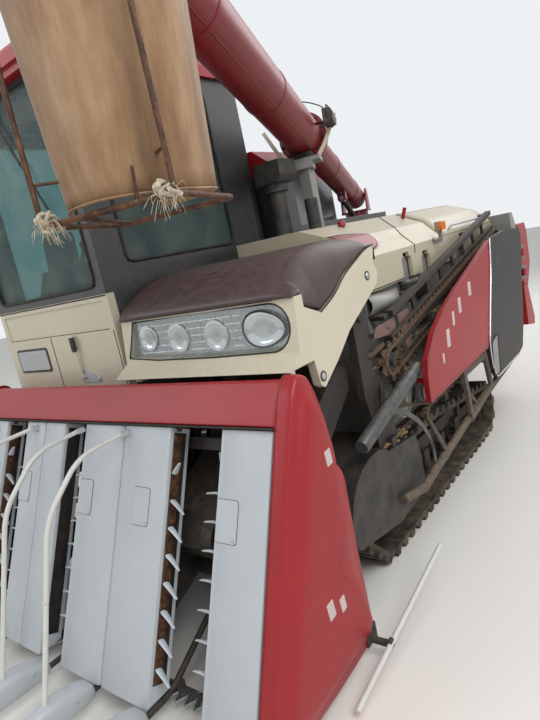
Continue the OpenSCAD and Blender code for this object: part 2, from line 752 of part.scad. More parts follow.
module seat() {
    x = -560;
    color(black) {
        block([x - 190, -470, floor_high], [x + 190, -80, floor_high + 300]);
        side_plate(x - 240, x + 240, [[-560, 1500], [-560, 1440], [-120, 1440], [-60, 1500], [-120, 1560], [-520, 1570]]);
        side_plate(x - 225, x + 225, [[-150, 1500], [-60, 1500], [0, 2010], [-90, 2060], [-120, 2040]]);
        for (s = [-1, 1]) side_plate(x + s * 262 - 24, x + s * 262 + 24, [
            [-430, 1700], [-130, 1660], [-90, 1500], [-60, 1500], [-60, 1740], [-430, 1750]
        ]);
        for (s = [-1, 1]) block([x + min(s * 215, s * 265), -110, 1500], [x + max(s * 215, s * 265), -66, 1560]);
    }
}

module console() {
    color(dark) {
        side_plate(-252, -90, [
            [-1140, floor_high], [-120, floor_high], [-120, 1640], [-700, 1660], [-900, 1700], [-1000, 1800], [-1050, 1790],
            [-1080, 1640], [-1140, 1600]
        ]);
        side_plate(-760, -420, [
            [-1150, floor_high], [-1020, floor_high], [-1020, 1600], [-940, 1740], [-990, 1800], [-1080, 1800], [-1150, 1640]
        ]);
    }
    color(black) {
        bar([-520, -1000, 1760], [-520, -930, 1900], 14);
        translate([-520, -930, 1900]) sphere(30);
        bar([-200, -620, 1640], [-200, -640, 1800], 12);
        translate([-200, -640, 1800]) sphere(26);
        for (x = [-230, -140]) bar([x, -420, 1640], [x, -430, 1740], 9);
        side_plate(-700, -480, [[-1080, 1780], [-1030, 1780], [-1020, 1970], [-1066, 1980]]);
    }
}

// Right side below the cab
module engine_cover() {
    color(cream) difference() {
        union() {
            side_plate(-998, -962, [[-1190, 640], [-470, 640], [-470, 1082], [-1190, 1082]]);
            block([-998, -1190, 640], [-900, -1164, 1082]);
            block([-962, -660, 640], [-936, -600, 690]);
            block([-962, -1100, deck_high], [-936, -1040, 690]);
        }
        for (z = [720 : 60 : 1000]) block([-1000, -1080, z], [-990, -560, z + 26]);
    }
}

screen_hinge = [-1086 - knuckle_r, 96];
screen_hinge_zs = [730, 1000];
module screen_door() {
    color(black) {
        difference() {
            block([-1086, -430, 650], [-1050, 90, 1080]);
            block([-1087, -396, 684], [-1074, 56, 1046]);
        }
        for (y = [-340 : 66 : 30]) block([-1080, y, 680], [-1072, y + 10, 1050]);
        for (z = [740 : 70 : 1020]) block([-1080, -400, z], [-1072, 60, z + 10]);
        for (z = screen_hinge_zs) hinge_moving([screen_hinge[0], screen_hinge[1], z], 0, 1);
        block([-1104, -420, 840], [-1084, -400, 900]);
    }
}

module steps() {
    color(black) {
        for (z = [360, 590, 820]) {
            difference() {
                block([-1090, -1100, z], [-1006, -620, z + 24]);
                for (y = [-1060 : 110 : -700]) block([-1072, y, z + 14], [-1024, y + 70, z + 25]);
            }
        }
        for (y = [-1112, -620]) side_plate(-1090, -1006, [[y, 350], [y + 12, 350], [y + 12, 1085], [y, 1085]]);
        block([-1058, -1112, 1080], [-1006, -608, floor_low]);
        bar([-1084, -1178, 1200], [-1084, -1178, 1900], 13);
        for (z = [1240, 1860]) bar([-1084, -1178, z], [cab_x0, -1178, z], 9);
    }
}

module mirrors() {
    color(black) {
        bent_bar([[cab_x0 + 30, cab_front, 2540], [cab_x0 + 30, -1320, 2540], [-1130, -1360, 2540], [-1130, -1360, 2150]], 9);
        side_plate(-1142, -1118, [[-1440, 2120], [-1280, 2120], [-1280, 2420], [-1440, 2420]]);
        front_plate(-1376, -1350, [[-1190, 2100], [-1030, 2100], [-1030, 2300], [-1190, 2300]]);
    }
}

// Amber lamp on a stalk, on the thresher cover's skirt
module side_lamp() {
    color("orange") {
        block([924, 480, 1560], [970, 556, 1618]);
        block([skirt_x, 506, 1490], [962, 530, 1514]);
        block([938, 506, 1500], [962, 530, 1562]);
    }
}

// Straw cutter on the back, hinged at its left end
cutter_x = [-150, 1030];
cutter_hinge = [cutter_x[1] + knuckle_r, cutter_y - 16];
cutter_hinge_zs = [1070, 1230];
module straw_cutter() {
    color(red) {
        side_plate(cutter_x[0], cutter_x[1], [
            [cutter_y, 980], [rear_y - 210, 940], [rear_y - 60, 1120], [rear_y - 60, 1380], [rear_y - 100, 1450],
            [cutter_y, 1450]
        ]);
        for (z = cutter_hinge_zs) hinge_moving([cutter_hinge[0], cutter_hinge[1], z], 180, 1);
    }
    color(black) {
        side_plate(cutter_x[0] + 10, cutter_x[1] - 10, [
            [cutter_y + 40, 620], [rear_y - 100, 580], [rear_y - 70, 640], [rear_y - 200, 970], [cutter_y + 40, 990]
        ]);
        side_plate(cutter_x[0] + 60, cutter_x[1] - 60, [
            [rear_y - 140, 700], [rear_y - 20, 560], [rear_y, 574], [rear_y - 110, 730]
        ]);
        for (x = [0, 300, 600, 860])
            side_plate(x, x + 12, [
                [rear_y - 240, 960], [rear_y - 60, 1100], [rear_y - 30, 1000], [rear_y - 100, 640], [rear_y - 140, 700]
            ]);
    }
}

// Header. It lifts about lift_at; bracket plates on the deck carry its pivot pipe
lift_at = [-620, 1300];
lift_x0 = 90;
lift_x1 = 900;
pivot_r = 45;
module header_bracket(x) {
    difference() {
        side_plate(x - 20, x + 20, concat(
            [[-640, deck_high - 10], [-430, deck_high - 10], [-500, 900]], arc(lift_at, 76, -30, 210, 9), [[-690, 900], [-640, 700]]
        ));
        translate([x - 21, lift_at[0], lift_at[1]]) rotate([0, 90, 0]) cylinder(r = pivot_r + fit_gap, h = 42);
    }
}

// The face frame: local +Z runs up the face, and local +Y points back through it
face_at = [-1900, 150];
module on_face() {
    translate([0, face_at[0], face_at[1]]) rotate([-face_lean, 0, 0]) children();
}
module face_block(low, high) {
    on_face() block(low, high);
}

// Tine cases: [left edge x, width, side its tines stand on, hatch's distance from the left edge]
case_table = [
    [-1046, 206, 1, 48], [-636, 360, -1, 8], [-112, case_w, -1, 8], [184, case_w, 1, 102], [750, 242, -1, 6]
];
case_foot_z = 104;
hatch_size = [110, 155];
hatch_z = 600;
// Droop in degrees of the tines on a case's left and right edges
tine_droop = [-2, 28];
tine_pitch = 104;
beam_at = [-1350, 350];
beam_r = 55;
post_xs = [-1046, -660, -130, 160, 300, 940];
arm_xs = [178, 282];
lift_x = 230;
lift_eye = [-1060, 850];
lift_base = [-600, 690];

module header_frame() {
    color(black) {
        translate([60, lift_at[0], lift_at[1]]) rotate([0, 90, 0]) cylinder(r = pivot_r, h = 880);
        translate([-1040, beam_at[0], beam_at[1]]) rotate([0, 90, 0]) cylinder(r = beam_r, h = 2030);
        for (x = arm_xs)
            side_plate(x - 12, x + 12, concat(
                [[-1400, 318], [-1310, 300], [-900, 780], [-560, 1250]], arc(lift_at, 76, -35, 130, 6), [[-980, 1010], [-1400, 420]]
            ));
        bar([arm_xs[0], lift_eye[0], lift_eye[1]], [arm_xs[1], lift_eye[0], lift_eye[1]], 14);
        on_face() {
            for (x = post_xs) side_plate(x, x + 16, [
                [case_t, 60], [370, 350], [414, 414], [370, 470], [190, 700], [170, 1004], [case_t, 1004]
            ]);
            block([-1046, case_t + 20, 920], [980, case_t + 60, 970]);
        }
    }
}

module header_top_bar() {
    color(red) on_face() {
        side_plate(-1054, 1000, [[-8, 1012], [20, 1186], [92, 1186], [92, 1060], [10, 1012]]);
        for (x = post_xs) block([x, 60, 1004], [x + 16, 130, 1062]);
    }
}

module header_sides() {
    outline = [
        [-1890, 150], [-1474, 1060], [-1418, 1178], [-1366, 1226], [-1315, 1209], [-1286, 1149], [-1251, 1014], [-1250, 856],
        [-1197, 791], [-1200, 409], [-1199, 60], [-1500, 44], [-1850, 52]
    ];
    bulge = [
        [-1780, 250], [-1440, 1010], [-1330, 1080], [-1284, 860], [-1240, 760], [-1240, 130], [-1500, 90], [-1740, 96]
    ];
    color(red) {
        side_plate(1000, half_w - 34, outline);
        side_plate(half_w - 34, half_w, bulge);
        bent_bar([[1150, -1540, 36], [1150, -1022, 112], [1150, -655, 166]], rod_r);
        block([half_w - 40, -1250, 66], [1158, -1226, 88]);
        block([1142, -1250, 66], [1158, -1226, 100]);
        side_plate(-half_w, -1054, outline);
    }
}

module tine_cases() {
    color(grey) on_face() for (c = case_table) {
        difference() {
            block([c[0], 0, -120], [c[0] + c[1], case_t, case_len]);
            rotate([face_lean, 0, 0]) block([c[0] - 1, -200, -300], [c[0] + c[1] + 1, 300, case_foot_z - face_at[1]]);
        }
        block([c[0] + c[3], -5, hatch_z], [c[0] + c[3] + hatch_size[0], 0, hatch_z + hatch_size[1]]);
    }
}

module tines() {
    color(steel) on_face() for (c = case_table) {
        foot_x = c[2] > 0 ? c[0] + c[1] : c[0];
        block([min(foot_x, foot_x + c[2] * 6), 22, 40], [max(foot_x, foot_x + c[2] * 6), 58, case_len - 30]);
        for (i = [0 : tine_count - 1]) {
            z = 90 + i * tine_pitch + (c[2] > 0 ? 0 : tine_pitch / 2);
            translate([foot_x + c[2] * 5, 34, z]) rotate([0, c[2] > 0 ? tine_droop[1] : -tine_droop[0], 0])
                linear_extrude(9) polygon([[0, -16], [c[2] * (tine_len - 8), -7], [c[2] * (tine_len - 8), 7], [0, 16]]);
        }
    }
}

// Divider noses with their struts: [x, shift of its guide rod's top end, number of guide rods]
divider_table = [[-1000, 50, 1], [-640, 110, 1], [-190, 60, 1], [140, 60, 1], [470, 0, 0], [940, 0, 0]];
module dividers() {
    color(grey) for (d = divider_table) {
        x = d[0];
        intersection() {
            side_plate(x - 60, x + 60, [
                [-front_y, 96], [-front_y + 50, 62], [-1950, 62], [-1936, 92], [-1936, 140], [-2150, 196], [-front_y + 10, 118]
            ]);
            linear_extrude(300) polygon([
                [x - 9, -front_y], [x + 9, -front_y], [x + 52, -2060], [x + 46, -1880], [x - 46, -1880], [x - 52, -2060]
            ]);
        }
        difference() {
            bent_bar([[x, -1975, 78], [x, -1790, 80], [x, -1352, 330]], 14);
            translate([x - 30, beam_at[0], beam_at[1]]) rotate([0, 90, 0]) cylinder(r = beam_r, h = 60);
        }
        block([x - 20, -1765, 60], [x + 20, -1735, 98]);
        if (d[2] > 0) difference() {
            bent_bar([[x, -2120, 176], [x, -1905, 830], [x, -1705, 1008], [x + d[1], -1470, 1036]], rod_r);
            face_block([-1200, 0, -100], [1200, 400, 1300]);
        }
    }
}

module knife_bar() {
    teeth = 39;
    pitch = 50;
    x0 = -teeth * pitch / 2;
    color(steel) translate([0, 0, 52]) linear_extrude(8) polygon(concat(
        [[x0, -1730]],
        [for (i = [0 : teeth - 1]) each [[x0 + i * pitch, -1762], [x0 + (i + 0.5) * pitch, -1812]]],
        [[x0 + teeth * pitch, -1762], [x0 + teeth * pitch, -1730]]
    ));
}

module conveyor() {
    color(dark) {
        side_plate(330, 850, [[-1540, 560], [-1470, 470], [-1400, 460], [-700, 960], [-690, 1060], [-760, 1090], [-1470, 690]]);
        for (x = [380, 590, 800]) bar([x - 30, -1470, 590], [x + 30, -1470, 590], 78);
        for (x = [400, 760]) block([x, -1376, beam_at[1] + beam_r], [x + 40, -1324, 540]);
    }
}

// Headlamp cover: cream front with its arch on the left, dark panel on top, clear lens
cowl_x0 = 24;
cowl_x1 = 1020;
cowl_top = 1478;
lens_z = [1285, 1466];
// The lens in (x, z): a slanted inner end and a round outer end
lens_outline = concat(
    [[106, lens_z[1]], [50, lens_z[0] + 18], [250, lens_z[0] + 2], [600, lens_z[0] - 4]],
    arc([900, (lens_z[0] + lens_z[1]) / 2], (lens_z[1] - lens_z[0]) / 2, -82, 90, 8)
);
// The bonnet's lower border on its outer side in (y, z), from its rear
bonnet_border = [[-556, 1588], [-643, 1576], [-853, 1498], [-958, 1432], [-1080, 1388]];
bonnet_t = 16;
bonnet_end_r = 120;
bonnet_top = 1656;
module lamp_cover() {
    color(cream) {
        difference() {
            side_plate(cowl_x0, cowl_x1, [[-1352, 1226], [-1268, 1278], [-1240, cowl_top], [-1186, cowl_top], [-1186, 1226]]);
            front_plate(-1400, -1214, lens_outline);
        }
        side_plate(cowl_x1 - 36, cowl_x1, concat(
            [[-1187, 1226], [-1172, 1124], [-1145, 1107], [-1015, 1182], [-888, 1271], [-722, 1347], [-575, 1415],
                [-552, 1459], [-580, 1510]],
            [for (p = bonnet_border) p - [0, fit_gap]], [[-1187, 1430]]
        ));
        block([cowl_x0, -1240, 1182], [cowl_x0 + 40, -1190, 1230]);
        side_plate(1000, cowl_x1, [[-1345, 1219.3], [-1320, 1211], [-1320, 1230], [-1345, 1230]]);
    }
    color(steel) for (i = [0 : 3])
        translate([190 + i * 205, -1214, (lens_z[0] + lens_z[1]) / 2]) rotate([90, 0, 0]) difference() {
            cylinder(r = 66, h = 13);
            translate([0, 0, 5]) cylinder(r = 56, h = 20);
        }
}

module lamp_lens() {
    color("white", 0.5) intersection() {
        side_plate(cowl_x0, cowl_x1, [
            [-1266, lens_z[0] - 10], [-1238, lens_z[1] + 10], [-1230, lens_z[1] + 10], [-1258, lens_z[0] - 10]
        ]);
        front_plate(-1300, -1200, lens_outline);
    }
}

module header_top_cover() {
    color("#33261f") difference() {
        bonnet_dome(0);
        bonnet_dome(bonnet_t);
        block([cowl_x0 - 1, -1300, 1200], [cowl_x1 + 1, -1184, cowl_top + fit_gap]);
        side_plate(cowl_x1 - bonnet_end_r, cowl_x1 + 20, concat(
            bonnet_border, [[-1190, 1432], [-1190, 1300], [-500, 1300], [-500, 1588]]
        ));
    }
}
// The bonnet's form, drawn in by `skin` on its top, front and outer end
module bonnet_dome(skin) {
    open = skin > 0 ? 30 : 0;
    intersection() {
        side_plate(cowl_x0 - open, cowl_x1 - skin, concat(
            [[-1250 + skin, cowl_top - 20 - open], [-1250 + skin, cowl_top + 4], [-1180 + skin * 0.7, 1552 - skin * 0.6]],
            [[-1080, 1616 - skin], [-960, 1647 - skin], [-840, bonnet_top - skin], [-690, 1654 - skin]],
            [[-540 + open, 1640 - skin], [-540 + open, 1380 - open], [-1150, 1380 - open]]
        ));
        front_plate(-1300, -500, concat(
            [[cowl_x0 - open, 1300], [cowl_x1 - skin, 1300]],
            arc([cowl_x1 - bonnet_end_r, bonnet_top - bonnet_end_r], bonnet_end_r - skin, 0, 90, 6),
            [[cowl_x0 - open, bonnet_top - skin]]
        ));
    }
}

// Lift cylinder: barrel on the deck's lug, rod up to the arms' pin
lift_len = norm(lift_eye - lift_base);
lift_tilt = atan2(lift_eye[1] - lift_base[1], lift_base[0] - lift_eye[0]);
module lift_lug() {
    for (x = [lift_x - 54, lift_x + 38])
        side_plate(x, x + 16, [[-640, deck_high - 10], [-560, deck_high - 10], [-560, 690], [-600, 730], [-640, 690]]);
    translate([lift_x - 54, lift_base[0], lift_base[1]]) rotate([0, 90, 0]) cylinder(r = 12, h = 108);
}
// A barrel along local +X from its eye, and the rod that slides in it
module ram_barrel(len, r, eye_w, pin) {
    rotate([90, 0, 0]) difference() {
        cylinder(r = r, h = eye_w, center = true);
        cylinder(r = pin + fit_gap, h = eye_w + 2, center = true);
    }
    translate([r - 8, 0, 0]) rotate([0, 90, 0]) difference() {
        cylinder(r = r, h = len - r + 8);
        translate([0, 0, 40]) cylinder(r = r * 0.55 + fit_gap, h = len);
    }
}
module ram_rod(from, to, r, eye_w, hole) {
    translate([from, 0, 0]) rotate([0, 90, 0]) cylinder(r = r, h = to - from - hole - 6);
    translate([to, 0, 0]) rotate([90, 0, 0]) difference() {
        cylinder(r = hole + 12, h = eye_w, center = true);
        cylinder(r = hole, h = eye_w + 2, center = true);
    }
}
module lift_frame() {
    translate([lift_x, lift_base[0], lift_base[1]]) rotate([0, 0, -90]) rotate([0, -lift_tilt, 0]) children();
}
module lift_barrel() { color(black) lift_frame() ram_barrel(400, 32, 32, 12); }
module lift_rod() { color(steel) lift_frame() ram_rod(130, lift_len, 17.6, 30, 22); }

// Unloading auger
pin_r = 20;
cheek_in = tube_rear_r + 10;
boom_eye = [620, -(tube_rear_r + 42)];
ram_base = [170, -190];
module on_turret() {
    translate(boom_base) rotate([0, 0, boom_turn - 90]) children();
}
module auger_turret() {
    color(red) {
        translate([turret_at[0], turret_at[1], turret_z]) cylinder(r = turret_r + 34, h = 34);
        translate([turret_at[0], turret_at[1], turret_z + 30]) cylinder(r = turret_r, h = 120);
        on_turret() {
            block([-112, -cheek_in - 16, -142], [112, cheek_in + 16, -126]);
            for (s = [-1, 1]) difference() {
                translate([0, s * cheek_in + (s - 1) / 2 * 16 + 16, 0]) rotate([90, 0, 0]) linear_extrude(16)
                    polygon(concat([[-90, -140], [90, -140]], arc([0, 0], 58, -10, 190, 9)));
                rotate([90, 0, 0]) cylinder(r = pin_r + fit_gap, h = 400, center = true);
            }
            for (s = [-1, 1]) translate([0, s * 36 + 8, 0]) rotate([90, 0, 0]) linear_extrude(16)
                polygon([[60, -240], [60, -130], [112, -130], [ram_base[0] + 24, ram_base[1] + 20],
                    [ram_base[0] + 24, ram_base[1] - 24]]);
            translate([ram_base[0], 0, ram_base[1]]) rotate([90, 0, 0]) cylinder(r = 10, h = 88, center = true);
        }
    }
}

module auger_tube() {
    color(red) on_boom() {
        rotate([0, 90, 0]) {
            translate([0, 0, -52]) cylinder(r = tube_rear_r, h = 92);
            translate([0, 0, 39]) difference() {
                cylinder(r = tube_rear_r, h = tube_join - 38);
                translate([0, 0, 1]) cylinder(r = tube_rear_r - tube_wall, h = tube_join);
            }
            for (z = [tube_join - 26, tube_join]) translate([0, 0, z]) difference() {
                cylinder(r = tube_front_r + 34, h = 22);
                translate([0, 0, -1]) cylinder(r = tube_rear_r - tube_wall, h = 30);
            }
            translate([0, 0, tube_join + 20]) difference() {
                cylinder(r = tube_front_r, h = boom_len - tube_join - 20);
                translate([0, 0, -1]) cylinder(r = tube_front_r - tube_wall, h = boom_len);
            }
            translate([0, 0, boom_len - 30]) difference() {
                cylinder(r = tube_front_r + 22, h = 20);
                translate([0, 0, -1]) cylinder(r = tube_front_r - tube_wall, h = 30);
            }
        }
        rotate([90, 0, 0]) cylinder(r = pin_r, h = 2 * (cheek_in + 16), center = true);
        block([tube_join + 60, -46, tube_front_r - 12], [boom_len - 60, 46, tube_front_r + 26]);
        for (s = [-34, 22]) block([boom_eye[0] - 40, s, boom_eye[1] - 26], [boom_eye[0] + 40, s + 12, -tube_rear_r + 12]);
        translate([boom_eye[0], 0, boom_eye[1]]) rotate([90, 0, 0]) cylinder(r = 10, h = 60, center = true);
    }
}

// Ram of the auger
ram_eye = [
    boom_eye[0] * cos(boom_rise) - boom_eye[1] * sin(boom_rise), boom_eye[0] * sin(boom_rise) + boom_eye[1] * cos(boom_rise)
];
ram_len = norm(ram_eye - ram_base);
ram_tilt = atan2(ram_eye[1] - ram_base[1], ram_eye[0] - ram_base[0]);
module ram_frame() {
    on_turret() translate([ram_base[0], 0, ram_base[1]]) rotate([0, -ram_tilt, 0]) children();
}
module boom_barrel() { color(black) ram_frame() ram_barrel(400, 24, 34, 10); }
module boom_rod() { color(steel) ram_frame() ram_rod(150, ram_len, 13.2, 30, 21); }

// Chute under the tube's front end: a curled sheet, its rods and the ring at the bottom
chute_low_r = 212;
chute_top_r = 260;
chute_t = 5;
// Drop of the sheet's top edge below the tube's end
chute_drop = 212;
chute_low = 1850;
chute_rod_r = 9;
chute_head = 230;
ring_half = 200;
module auger_spout() {
    end = boom_point(boom_len);
    top = end[2] + 40;
    mouth = boom_point(boom_len + 100);
    color(black) on_boom() difference() {
        block([boom_len - 10 + fit_gap, -150, -150], [boom_len + chute_head, 150, 150]);
        block([boom_len - 11, -138, -151], [boom_len + chute_head - 12, 138, 138]);
    }
    color(rust) translate([mouth[0], mouth[1], 0]) rotate([0, 0, boom_turn]) {
        translate([0, 0, chute_low]) rotate([0, 0, -150]) rotate_extrude(angle = 250)
            polygon([
                [chute_low_r - chute_t, 0], [chute_low_r, 0], [chute_top_r, top - chute_drop - chute_low],
                [chute_top_r - chute_t, top - chute_drop - chute_low]
            ]);
    }
    color(rust) translate([mouth[0], mouth[1], 0]) rotate([0, 0, boom_turn]) {
        ring = ring_half * [[-1, -1], [1, -1], [1, 1], [-1, 1]];
        for (i = [0 : 3]) {
            a = ring[i];
            b = ring[(i + 1) % 4];
            bar([a[0], a[1], chute_low - 20], [b[0], b[1], chute_low - 20], chute_rod_r);
            translate([a[0], a[1], chute_low - 20]) cylinder(r = chute_rod_r * 1.3, h = chute_rod_r * 2.6, center = true);
        }
        for (p = [ring[0], ring[1]]) {
            bent_bar([
                [p[0], p[1], chute_low - 20], [p[0], p[1], top - chute_drop + 40], [p[0] * 0.72, p[1] * 0.62, top - 110]
            ], chute_rod_r);
            for (z = [chute_low + 90, top - chute_drop - 90]) {
                r = chute_low_r + (chute_top_r - chute_low_r) * (z - chute_low) / (top - chute_drop - chute_low);
                bar([p[0], p[1], z], [p[0], p[1], 0] / norm(p) * (r - chute_t / 2) + [0, 0, z], 5);
            }
        }
    }
}

module auger_lamp() {
    color(black) on_boom() {
        block([1846, tube_front_r, 10], [1862, tube_front_r + 60, 30]);
        translate([0, tube_front_r + 50, 0]) block([1800, 0, -20], [1910, 70, 70]);
    }
}

chassis_frame();
gearbox();
engine_block();
track(track_x);  // track_left
track(-track_x);  // track_right
undercarriage(1);  // undercarriage_left
undercarriage(-1);  // undercarriage_right
thresher_body();
thresher_cover();
feed_chain();
feed_rail();
side_cover_red();
side_cover_rear();
side_guard();
track_fender();
grain_tank();
tank_lid();
intake();
auger_post();
cab_floor();
cab_front_panel();
cab_frame();
cab_roof();
cab_glass();
seat();
console();
engine_cover();
screen_door();
steps();
mirrors();
side_lamp();
door_frame();
door_glass();
straw_cutter();
header_frame();
header_top_bar();
header_sides();
tine_cases();
tines();
dividers();
knife_bar();
conveyor();
lamp_cover();
lamp_lens();
header_top_cover();
lift_barrel();
lift_rod();
auger_turret();
auger_tube();
boom_barrel();
boom_rod();
auger_spout();
auger_lamp();
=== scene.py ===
"""Looks of a head-feed combine harvester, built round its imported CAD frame.

Everything is in metres in the machine's own frame: it faces -Y, its left side is +X, and the ground is Z = 0.
"""

from __future__ import annotations

import logging
import random
from collections.abc import Callable, Iterable, Sequence
from dataclasses import dataclass
from enum import Enum
from functools import cached_property
from math import copysign, cos, exp, pi, radians, sin, sqrt, tau

import bmesh
import bpy
from mathutils import Matrix, Vector

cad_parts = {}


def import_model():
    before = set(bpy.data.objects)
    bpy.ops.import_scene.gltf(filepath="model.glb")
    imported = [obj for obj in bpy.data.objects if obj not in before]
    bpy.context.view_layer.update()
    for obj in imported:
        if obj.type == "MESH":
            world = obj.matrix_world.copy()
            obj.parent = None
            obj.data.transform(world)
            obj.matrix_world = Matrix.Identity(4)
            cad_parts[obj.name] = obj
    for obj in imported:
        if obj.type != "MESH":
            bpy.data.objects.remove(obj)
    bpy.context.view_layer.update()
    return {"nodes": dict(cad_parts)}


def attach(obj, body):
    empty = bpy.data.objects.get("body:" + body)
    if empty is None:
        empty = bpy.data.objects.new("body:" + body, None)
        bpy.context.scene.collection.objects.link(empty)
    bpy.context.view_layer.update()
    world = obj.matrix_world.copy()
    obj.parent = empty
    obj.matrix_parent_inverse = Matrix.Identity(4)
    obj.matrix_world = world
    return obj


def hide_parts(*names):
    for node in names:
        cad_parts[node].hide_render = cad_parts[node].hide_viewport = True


LOG = logging.getLogger("combine")
MM = 0.001

Point = tuple[float, float, float]
Colour = tuple[float, float, float, float]
Outline = Sequence[tuple[float, float]]
Link = tuple[bpy.types.Node, str | int]


def linear(hex_colour: str) -> Colour:
    """Turns an sRGB hex colour into the linear one that shaders use.

    Args:
        hex_colour: Six hex digits, such as "c41c28".

    Returns:
        Red, green, blue and an alpha of 1.
    """
    parts = [int(hex_colour[i : i + 2], 16) / 255 for i in (0, 2, 4)]
    flat = [c / 12.92 if c <= 0.04045 else ((c + 0.055) / 1.055) ** 2.4 for c in parts]
    return (flat[0], flat[1], flat[2], 1.0)


def add_node(
    tree: bpy.types.NodeTree,
    kind: str,
    links: dict[str | int, Link] | None = None,
    values: dict[str | int, object] | None = None,
    **settings: object,
) -> bpy.types.Node:
    """Adds one shader node with its settings, socket values and incoming links.

    Args:
        tree: The node tree that it goes into.
        kind: The node's type, such as "ShaderNodeBump".
        links: Input socket to the node and output that feed it.
        values: Input socket to the number or colour set on it.
        **settings: The node's own properties.

    Returns:
        The new node.
    """
    node = tree.nodes.new(kind)
    for key, value in settings.items():
        setattr(node, key, value)
    for key, value in (values or {}).items():
        node.inputs[key].default_value = value
    for key, (source, output) in (links or {}).items():
        tree.links.new(source.outputs[output], node.inputs[key])
    return node


class Recipe:
    """A material while its nodes are being laid out."""

    def __init__(self, name: str) -> None:
        """Starts an empty node material.

        Args:
            name: The material's name.
        """
        self.material = bpy.data.materials.new(name)
        self.material.use_nodes = True
        self.tree = self.material.node_tree
        self.tree.nodes.clear()
        self.out = add_node(self.tree, "ShaderNodeOutputMaterial")

    @cached_property
    def where(self) -> Link:
        """Object coordinates, which the textures are laid out in."""
        return add_node(self.tree, "ShaderNodeTexCoord"), "Object"

    def part(self, source: Link, axis: str) -> Link:
        """Takes one axis of a vector."""
        return add_node(self.tree, "ShaderNodeSeparateXYZ", {0: source}), axis

    def noise(self, size_mm: float, detail: float, roughness: float = 0.5, where: Link | None = None) -> Link:
        """Adds a noise whose features have a real size.

        Args:
            size_mm: Size of its largest features.
            detail: Number of finer layers.
            roughness: Strength of the finer layers.
            where: Its coordinates, or None for the object's own.

        Returns:
            The noise's value.
        """
        values = {"Scale": 1000 / size_mm, "Detail": detail, "Roughness": roughness}
        return add_node(self.tree, "ShaderNodeTexNoise", {"Vector": where or self.where}, values), "Fac"

    def remap(self, source: Link, low: float = 0.0, high: float = 1.0, start: float = 0.0, end: float = 1.0) -> Link:
        """Maps the range low to high onto start to end, and clamps there.

        Args:
            source: The value.
            low: Lower end of its own range.
            high: Upper end of its own range.
            start: What the lower end becomes.
            end: What the upper end becomes.

        Returns:
            The mapped value.
        """
        values = {"From Min": low, "From Max": high, "To Min": start, "To Max": end}
        return add_node(self.tree, "ShaderNodeMapRange", {"Value": source}, values), "Result"

    def reckon(self, operation: str, first: Link, second: Link | float) -> Link:
        """Puts two values through a maths node.

        Args:
            operation: The node's operation.
            first: The first value.
            second: The second value, linked or plain.

        Returns:
            The result.
        """
        links, values = {0: first}, {}
        (links if isinstance(second, tuple) else values)[1] = second
        return add_node(self.tree, "ShaderNodeMath", links, values, operation=operation), 0

    def blend(self, share: Link, first: Link | Colour, second: Link | Colour) -> Link:
        """Mixes two colours.

        Args:
            share: Share of the second colour.
            first: The first colour, linked or plain.
            second: The second colour, linked or plain.

        Returns:
            The mixed colour.
        """
        links, values = {"Factor": share}, {}
        for socket, colour in ((6, first), (7, second)):
            (links if len(colour) == 2 else values)[socket] = colour
        return add_node(self.tree, "ShaderNodeMix", links, values, data_type="RGBA"), 2

    def ramp(self, source: Link, stops: Sequence[tuple[float, Colour]]) -> Link:
        """Runs a value through a colour ramp.

        Args:
            source: The value.
            stops: Position and colour of each stop, in rising order.

        Returns:
            The ramp's colour.
        """
        ramp = add_node(self.tree, "ShaderNodeValToRGB", {"Fac": source})
        elements = ramp.color_ramp.elements
        while len(elements) > 1:
            elements.remove(elements[0])
        elements[0].position, elements[0].color = stops[0]
        for position, colour in stops[1:]:
            elements.new(position).color = colour
        return ramp, "Color"

    def bump(self, height: Link, strength: float, depth_mm: float, edge_mm: float = 0.0) -> Link:
        """Raises a height map over the surface.

        Args:
            height: The height map.
            strength: Its strength.
            depth_mm: Its real depth.
            edge_mm: Radius that sharp edges are shown with, or 0 for none.

        Returns:
            The normal.
        """
        links = {"Height": height}
        if edge_mm:
            edge = add_node(self.tree, "ShaderNodeBevel", values={"Radius": edge_mm * MM}, samples=4)
            links["Normal"] = (edge, "Normal")
        values = {"Strength": strength, "Distance": depth_mm * MM}
        return add_node(self.tree, "ShaderNodeBump", links, values), "Normal"

    def close(self, surface: Link) -> bpy.types.Material:
        """Connects the surface shader and gives the finished material."""
        self.tree.links.new(surface[0].outputs[surface[1]], self.out.inputs["Surface"])
        return self.material

    def principled(
        self, links: dict[str | int, Link], values: dict[str | int, object] | None = None
    ) -> bpy.types.Material:
        """Closes the material with the principled shader."""
        return self.close((add_node(self.tree, "ShaderNodeBsdfPrincipled", links, values), "BSDF"))


# Finishes

# Dust fades from a share at the ground to one up high, between these heights in metres
DUST_HEIGHTS = (0.1, 1.5)
DUST_SHARES = (0.75, 0.18)
# Sizes of the dust's grain, the patches of dried soil and the smears on glass
GRIT_MM, SOIL_MM, SMEAR_MM = 34.0, 90.0, 160.0
# Where a rust's four colours stand along its streaks
RUST_STOPS = (0.30, 0.46, 0.58, 0.72)


